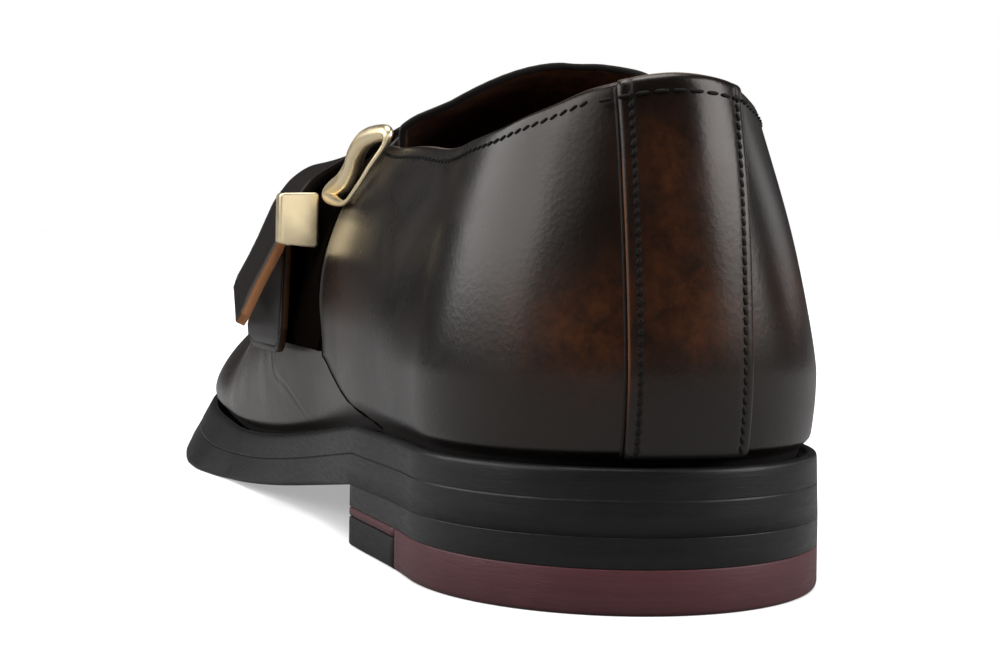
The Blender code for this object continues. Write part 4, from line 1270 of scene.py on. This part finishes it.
# ---- sole -----------------------------------------------------------------------
SOLE_US = runs(0.0, (U_HEEL, 56), (U_BALL, 110), (1.0, 100))
FLARE_JOINT = 0.57               # share of the flare at the joint of outsole and welt
# How far the tread swells out on the outer side of the ball, and draws in by the toe.
BALL_SWELL = {"u": (0.0, 0.58, 0.62, 0.66, 0.69, 0.72, 0.76, 0.82, 0.9, 1.0),
              "out": (0.0, 0.0, 1.1, 2.3, 2.2, 0.9, -0.6, -0.7, 0.0, 0.0)}
# How much of its rounding the tread's edge has, from the heel to the toe.
EDGE_SOFTNESS = {"u": (0.0, 0.31, 0.42, 1.0), "soft": (0.01, 0.01, 0.7, 0.7)}
# Sections of the edges: height, inset, whether the softness above applies.
OUTSOLE_EDGE = ((0.0, 9.0, 0), (0.0, 6.2, 0), (0.25, 5.9, 0), (0.25, 5.3, 0), (0.0, 5.0, 0),
                (0.0, 1.5, 1), (0.08, 0.9, 1), (0.3, 0.42, 1), (0.65, 0.12, 1), (1.2, 0.0, 1),
                (3.0, 0.0, 0), (5.0, 0.0, 0), (5.4, 0.0, 0), (5.4, 9.0, 0))
WELT_EDGE = ((-0.3, 9.0, 0), (-0.3, 0.03, 0), (-0.28, 0.0, 0), (-0.1, 0.0, 0), (0.0, 0.0, 0),
             (2.0, 0.0, 0), (3.5, 0.0, 0), (3.85, 0.06, 0), (4.08, 0.2, 0), (4.23, 0.44, 0),
             (4.3, 0.8, 0), (4.3, 1.5, 0), (4.0, 1.75, 0), (3.3, 2.0, 0), (3.2, 9.0, 0))


def around(profile, corner):
    """Rings from the corners of a section: up the outer side, then down the inner one."""
    corners = [(OUTER, *row) for row in profile] + [(INNER, *row) for row in profile[::-1]]
    return np.stack([np.stack(corner(*values), axis=-1) for values in corners], axis=1)


def plate(profile, bottom, thick, foot_share, head_share):
    """Closed plate of the sole whose edge follows a section."""
    flare = smooth(INSETS, "flare", SOLE_US)
    soft = smooth(EDGE_SOFTNESS, "soft", SOLE_US)
    swell = smooth(BALL_SWELL, "out", SOLE_US)

    def corner(side, height, inset, softened):
        factor = soft if softened else 1.0
        share = foot_share + (head_share - foot_share) * height * factor / thick
        out = swell * (1 - share) * (side == OUTER)
        x, y = outline(side, SOLE_US, flare * share + inset * factor - out)
        return x, y, bottom(y) + height * factor

    return capped_rings(around(profile, corner))


def make_sole():
    """Tread sole, and the plate above it whose edge is the welt's."""
    points, faces = plate(OUTSOLE_EDGE, sole_bottom, OUTSOLE_THICK, 0.0, FLARE_JOINT)
    piece("tread_sole", points, faces, SOLE_BLACK, ("outsole",))
    points, faces = plate(WELT_EDGE, midsole_bottom, MIDSOLE_THICK, FLARE_JOINT, 1.0)
    piece("welt", points, faces, SOLE_BLACK, ("midsole",))


BREAST_BACK = 0.45               # a breast's edge is rounded over this far


def heel_layer(name, low, high, profile, us, material, node, breast_inset):
    """Layer of the heel between two heights, its breast edge softened."""
    def corner(side, height, inset):
        x, y = outline(side, us, inset)
        top = high(y) if callable(high) else high
        return x, y, np.broadcast_to(low + (top - low) * height, y.shape)

    rings = around(profile, corner)
    ends = []
    for back, shrink in ((0.15, 0.12), (0.0, breast_inset)):
        ring = rings[-1].copy()
        ring[:, 1] -= back
        middle = (ring.min(0) + ring.max(0)) / 2
        for axis in (0, 2):
            ring[:, axis] = middle[axis] + (ring[:, axis] - middle[axis]) * (
                1 - 2 * shrink / (ring[:, axis].max() - ring[:, axis].min()))
        ends.append(ring)
    rings[-1][:, 1] -= BREAST_BACK
    points, faces = capped_rings(np.concatenate((rings, np.array(ends))))
    piece(name, points, faces, material, (node,))


# Sections of the heel's layers: share of the height, inset.
BLOCK_EDGE = ((0.0, 5.0), (0.0, 0.12), (0.015, 0.04), (0.03, 0.0), (0.5, 0.0), (0.97, 0.0),
              (1.0, 0.0), (1.0, 5.0))
LIFT_EDGE = ((0.0, 5.0), (0.0, 0.6), (0.02, 0.3), (0.06, 0.1), (0.12, 0.0), (0.5, 0.0),
             (0.96, 0.0), (0.99, 0.06), (1.0, 0.25), (1.0, 5.0))
SKIN_EDGE = ((0.0, 5.0), (0.0, 0.3), (0.2, 0.0), (0.8, 0.0), (1.0, 0.3), (1.0, 5.0))
JOINT = 0.02                     # gap between the layers of the heel


def make_heel():
    """Stacked heel, its burgundy lift and the black block let into the lift's front."""
    breast, insert = u_of_y(HEEL_BREAST_Y), u_of_y(INSERT_REAR_Y)
    heel_layer("stacked_heel", LIFT_THICK, lambda y: sole_bottom(y) - JOINT, BLOCK_EDGE,
               runs(0.0, (U_HEEL, 56), (breast, 14)), HEEL_BLACK, "heel_block", 0.35)
    heel_layer("burgundy_lift", 0.0, LIFT_THICK, LIFT_EDGE,
               runs(0.0, (U_HEEL, 56), (insert, 6)), LIFT_BURGUNDY, "heel_lift",
               0.2)
    skin = LIFT_THICK - LIFT_SKIN
    front = np.linspace(insert + GAP / Y_PER_U, breast, 12)
    heel_layer("burgundy_lift_front", skin, LIFT_THICK, SKIN_EDGE, front, LIFT_BURGUNDY,
               "heel_lift", 0.2)
    heel_layer("lift_insert", 0.0, skin - JOINT, LIFT_EDGE, front, INSERT_BLACK,
               "heel_lift_insert", 0.3)


def make_footbed():
    """Leather footbed, a little hollowed under the heel and the ball."""
    us = runs(0.0, (U_HEEL, 36), (U_BALL, 90), (1.0, 50))
    inset = smooth(INSETS, "feather", us) + WALL + 0.7
    across = np.concatenate(((0.0, 0.0, 0.006, 0.02), np.linspace(0.05, 0.95, 27),
                             (0.98, 0.994, 1.0, 1.0)))
    rise = np.full(len(across), INSOLE_THICK)
    rise[[0, -1]] = 0.0
    rise[[1, -2]] -= 0.7
    rise[[2, -3]] -= 0.2
    left = np.stack(outline(OUTER, us, inset), -1)
    right = np.stack(outline(INNER, us, inset), -1)
    flat = left[:, None] + (right - left)[:, None] * across[None, :, None]
    base = sole_top(flat[..., 1]) + GAP
    hollow = soft_spots(np.concatenate((flat, 0 * flat[..., :1]), -1),
                        ((0, 40, 0, 22, 0.8), (8, 190, 0, 32, 0.6), (-22, 196, 0, 20, 0.3)))
    inside = np.minimum(across, 1 - across)[None] * np.linalg.norm(right - left, axis=1)[:, None]
    top = np.concatenate((flat, (base + rise - hollow * ease(inside / 10))[..., None]), -1)
    under = np.concatenate((flat, base[..., None]), -1)
    points, faces = two_faces(top, under)
    wear_and_highlight = np.concatenate((hollow.ravel(), np.zeros(hollow.size)))
    piece("footbed", points, faces, FOOTBED_CALF, ("insole",), {"burnish": wear_and_highlight})


# ---- stitching ------------------------------------------------------------------
def wall_row(s, from_top, offset):
    """Path and normals on the wall, a distance below the top edge."""
    points, normals = wall_at(s, rib_stops(s, (from_top,))[:, 0])
    return points + normals * offset, normals


def sew(name, rows, thread):
    """One piece from rows of stitches."""
    points, faces = joined(rows)
    piece(name, points, faces, thread, weld=0.0001)


def make_collar_stitches():
    """Stitches below the collar, over the top of the back stay and along the throat."""
    rows = []
    for s in (np.linspace(-QUARTER_FRONT_U + 0.008, -0.062, 150),
              np.linspace(0.066, QUARTER_FRONT_U - 0.008, 150)):
        path, normals = wall_row(s, 2.5, QUARTER_STEP)
        rows.append(stitches(path, normals, 1.75, 1.45, 0.5, 0.45, turn=0.3))
    path, normals = wall_row(np.linspace(-0.055, 0.06, 60), 3.2, STAY_HIGH)
    rows.append(stitches(path, normals, 2.7, 2.1, 0.6, 0.5))
    for side in (OUTER, INNER):
        s = side * np.linspace(QUARTER_FRONT_U + 0.004, U_THROAT - 0.004, 90)
        path, normals = wall_row(s, 2.5, 0.0)
        rows.append(stitches(path, normals, 1.75, 1.25, 0.55, 0.5))
    sew("collar_stitches", rows, DARK_THREAD)


def make_stay_stitches():
    """Two rows of slanted stitches in the grooves of the back stay."""
    rows = []
    for side in (-1, 1):
        share = side * (1 - STAY_ROW / STAY_HALF)
        points, normals = wall_at(*stay_place(np.full(120, share), np.linspace(0.985, 0.03, 120)))
        path = points + normals * (QUARTER_STEP + 1.02)
        rows.append(stitches(path, normals, 1.45, 1.25, 0.88, 0.46, turn=0.5 * side))
    sew("stay_stitches", rows, STAY_THREAD)


WELT_ROW_START = 84.0
WELT_ROW_PLACE = 0.68            # share of the welt's shelf, from its edge inwards


def make_welt_stitches():
    """Stitches on the welt, from ahead of the heel round the toe."""
    rows = []
    for side in (OUTER, INNER):
        u = np.linspace(u_of_y(WELT_ROW_START), 1.0, 260)
        shelf = smooth(INSETS, "feather", u) - smooth(INSETS, "flare", u)
        x, y = outline(side, u, smooth(INSETS, "flare", u) + shelf * WELT_ROW_PLACE)
        path = np.stack((x, y, sole_top(y)), -1)
        rows.append(stitches(path, np.tile((0.0, 0.0, 1.0), (len(u), 1)), 2.6, 2.0, 0.7, 0.5))
    sew("welt_stitches", rows, DARK_THREAD)


# ---- stage, light and camera ----------------------------------------------------
def make_stage():
    """Plain pale floor, a flat disc of 4 m radius."""
    mesh = bpy.data.meshes.new("floor")
    reach, steps = 4.0, 24
    points, faces = [(0.0, 0.0, 0.0)], []
    for i in range(steps):
        turn = 2 * math.pi * i / steps
        points.append((reach * math.cos(turn), reach * math.sin(turn), 0.0))
        faces.append((0, i + 1, (i + 1) % steps + 1))
    mesh.from_pydata(points, [], faces)
    material, bench, shader = finish("pale_floor", Roughness=0.85)
    where = bench.put("TexCoord").outputs["Object"]
    tone = bench.span(bench.noise(where, 3.0, 2.0), 0.3, 0.7)
    paper = bench.mix(tone, shade(0.62, 0.62, 0.62), shade(0.64, 0.64, 0.64))
    seen = bench.put("LightPath").outputs["Is Camera Ray"]
    bench.feed(shader.inputs["Base Color"], bench.mix(seen, shade(0.21, 0.21, 0.21), paper))
    bench.feed(shader.inputs["Emission Color"],
               bench.mix(seen, shade(0.0, 0.0, 0.0), shade(0.38, 0.38, 0.38)))
    shader.inputs["Emission Strength"].default_value = 1.0
    mesh.materials.append(material)
    floor = show("floor", mesh)


def softbox(name, place, target, wide, tall, watts, colour=(1.0, 1.0, 1.0)):
    """Rectangular light at a place, turned to its target."""
    light = bpy.data.lights.new(name, "AREA")
    light.shape = "RECTANGLE"
    light.size, light.size_y = wide, tall
    light.energy = watts
    light.color = colour
    obj = show(name, light)
    aim = Vector(target) - Vector(place)
    obj.matrix_world = Matrix.Translation(place) @ aim.to_track_quat("-Z", "Y").to_matrix().to_4x4()
    return obj


def light_only(light, group, names):
    """Keeps a light to a few pieces: the buckle's shine on the leather, a card for the gold."""
    parts = bpy.data.collections.new(group)
    for name in names:
        parts.objects.link(bpy.data.objects[name])
    light.light_linking.receiver_collection = parts


SHOE_MIDDLE = (0, 0, 0.08)
# Place, width, height and watts of the softboxes around the shoe.
SOFTBOXES = (
    ("left_softbox", (-1.14, 0.36, 0.64), 1.5, 0.86, 11.5),
    ("left_back_softbox", (-1.13, -0.38, 0.80), 0.7, 0.6, 2.0),
    ("right_softbox", (1.05, -0.55, 0.64), 0.90, 0.85, 11.0),
    ("right_front_softbox", (1.21, 0.54, 0.30), 0.4, 0.3, 0.32),
)


def make_light():
    """Bright studio behind the shoe, dim in front of it, with a tall softbox on either side."""
    world = bpy.data.worlds.new("studio")
    world.use_nodes = True
    bench = Bench(world.node_tree)
    backdrop = world.node_tree.nodes["Background"]
    aim = bench.put("TexCoord").outputs["Generated"]
    ahead = bench.put("SeparateXYZ", {0: aim}).outputs["Y"]
    glow = bench.put("MapRange", {"Value": ahead, "From Min": 0.45, "From Max": 0.98,
                                  "To Min": 0.026, "To Max": 0.055},
                     interpolation_type="SMOOTHSTEP").outputs["Result"]
    seen = bench.put("LightPath").outputs["Is Camera Ray"]
    bench.feed(backdrop.inputs["Strength"], bench.math("MAXIMUM", glow, seen))
    backdrop.inputs["Color"].default_value = shade(1.0, 1.0, 1.0)
    bpy.context.scene.world = world
    for name, place, wide, tall, watts in SOFTBOXES:
        softbox(name, place, SHOE_MIDDLE, wide, tall, watts)
    softbox("top_softbox", (-0.1, 0.1, 1.5), (0, 0, 0.05), 1.0, 1.0, 14.0)
    glint = softbox("glint", (-0.0375, -0.036, 0.0545), (-0.0285, -0.050, 0.0530), 0.008, 0.008,
                    0.00007, (1.0, 0.80, 0.46))
    glint.data.spread = math.radians(50)
    light_only(glint, "leather_parts", ("quarters",))
    card = softbox("gold_card", (0.05, -0.85, 0.12), (-0.035, -0.04, 0.06), 1.9, 1.1, 7.5)
    light_only(card, "buckle_parts", ("gold_bar", "gold_link"))
    sky = bpy.data.lights.new("overhead", "SUN")
    sky.energy = 3.5
    sky.angle = math.radians(70)
    obj = show("overhead", sky)
    obj.matrix_world = Matrix.Translation((0, 0, 1.5)) @ Matrix.Rotation(math.radians(12), 4, "X")
    obj.visible_glossy = False


# Place in millimetres of the shoe's axes, angles in radians, focal length in mm.
CAMERA = {"place": (-105.6, -289.3, 58.4), "heading": 0.2968, "pitch": 0.0011, "roll": 0.0177,
          "lens": 76.3, "shift": (-0.0808, -0.1236)}


def make_camera():
    """Camera behind the shoe and a little to its outer side."""
    data = bpy.data.cameras.new("camera")
    data.sensor_width = 36.0
    data.lens = CAMERA["lens"]
    data.shift_x, data.shift_y = CAMERA["shift"]
    data.clip_start, data.clip_end = 0.01, 50.0
    heading, pitch, roll = CAMERA["heading"], CAMERA["pitch"], CAMERA["roll"]
    right = Vector((math.cos(heading), -math.sin(heading), 0.0))
    look = Vector((math.sin(heading) * math.cos(pitch), math.cos(heading) * math.cos(pitch),
                   math.sin(pitch)))
    up = right.cross(look)
    right, up = (right * math.cos(roll) + up * math.sin(roll),
                 up * math.cos(roll) - right * math.sin(roll))
    turn = Matrix((right, up, -look)).transposed()
    camera = show("camera", data)
    place = Vector((np.array(CAMERA["place"]) + TO_FRAME) * MM)
    camera.matrix_world = Matrix.Translation(place) @ turn.to_4x4()
    bpy.context.scene.camera = camera
    bpy.context.scene.view_settings.view_transform = "Standard"


make_camera()
make_stage()
make_sole()
make_heel()
make_footbed()
make_vamp()
make_quarters()
make_quarter_edge_shade()
make_lining()
make_back_stay()
make_tongue()
make_side_tab()
make_strap()
make_flap()
make_bar()
make_link()
make_collar_stitches()
make_stay_stitches()
make_welt_stitches()
make_light()
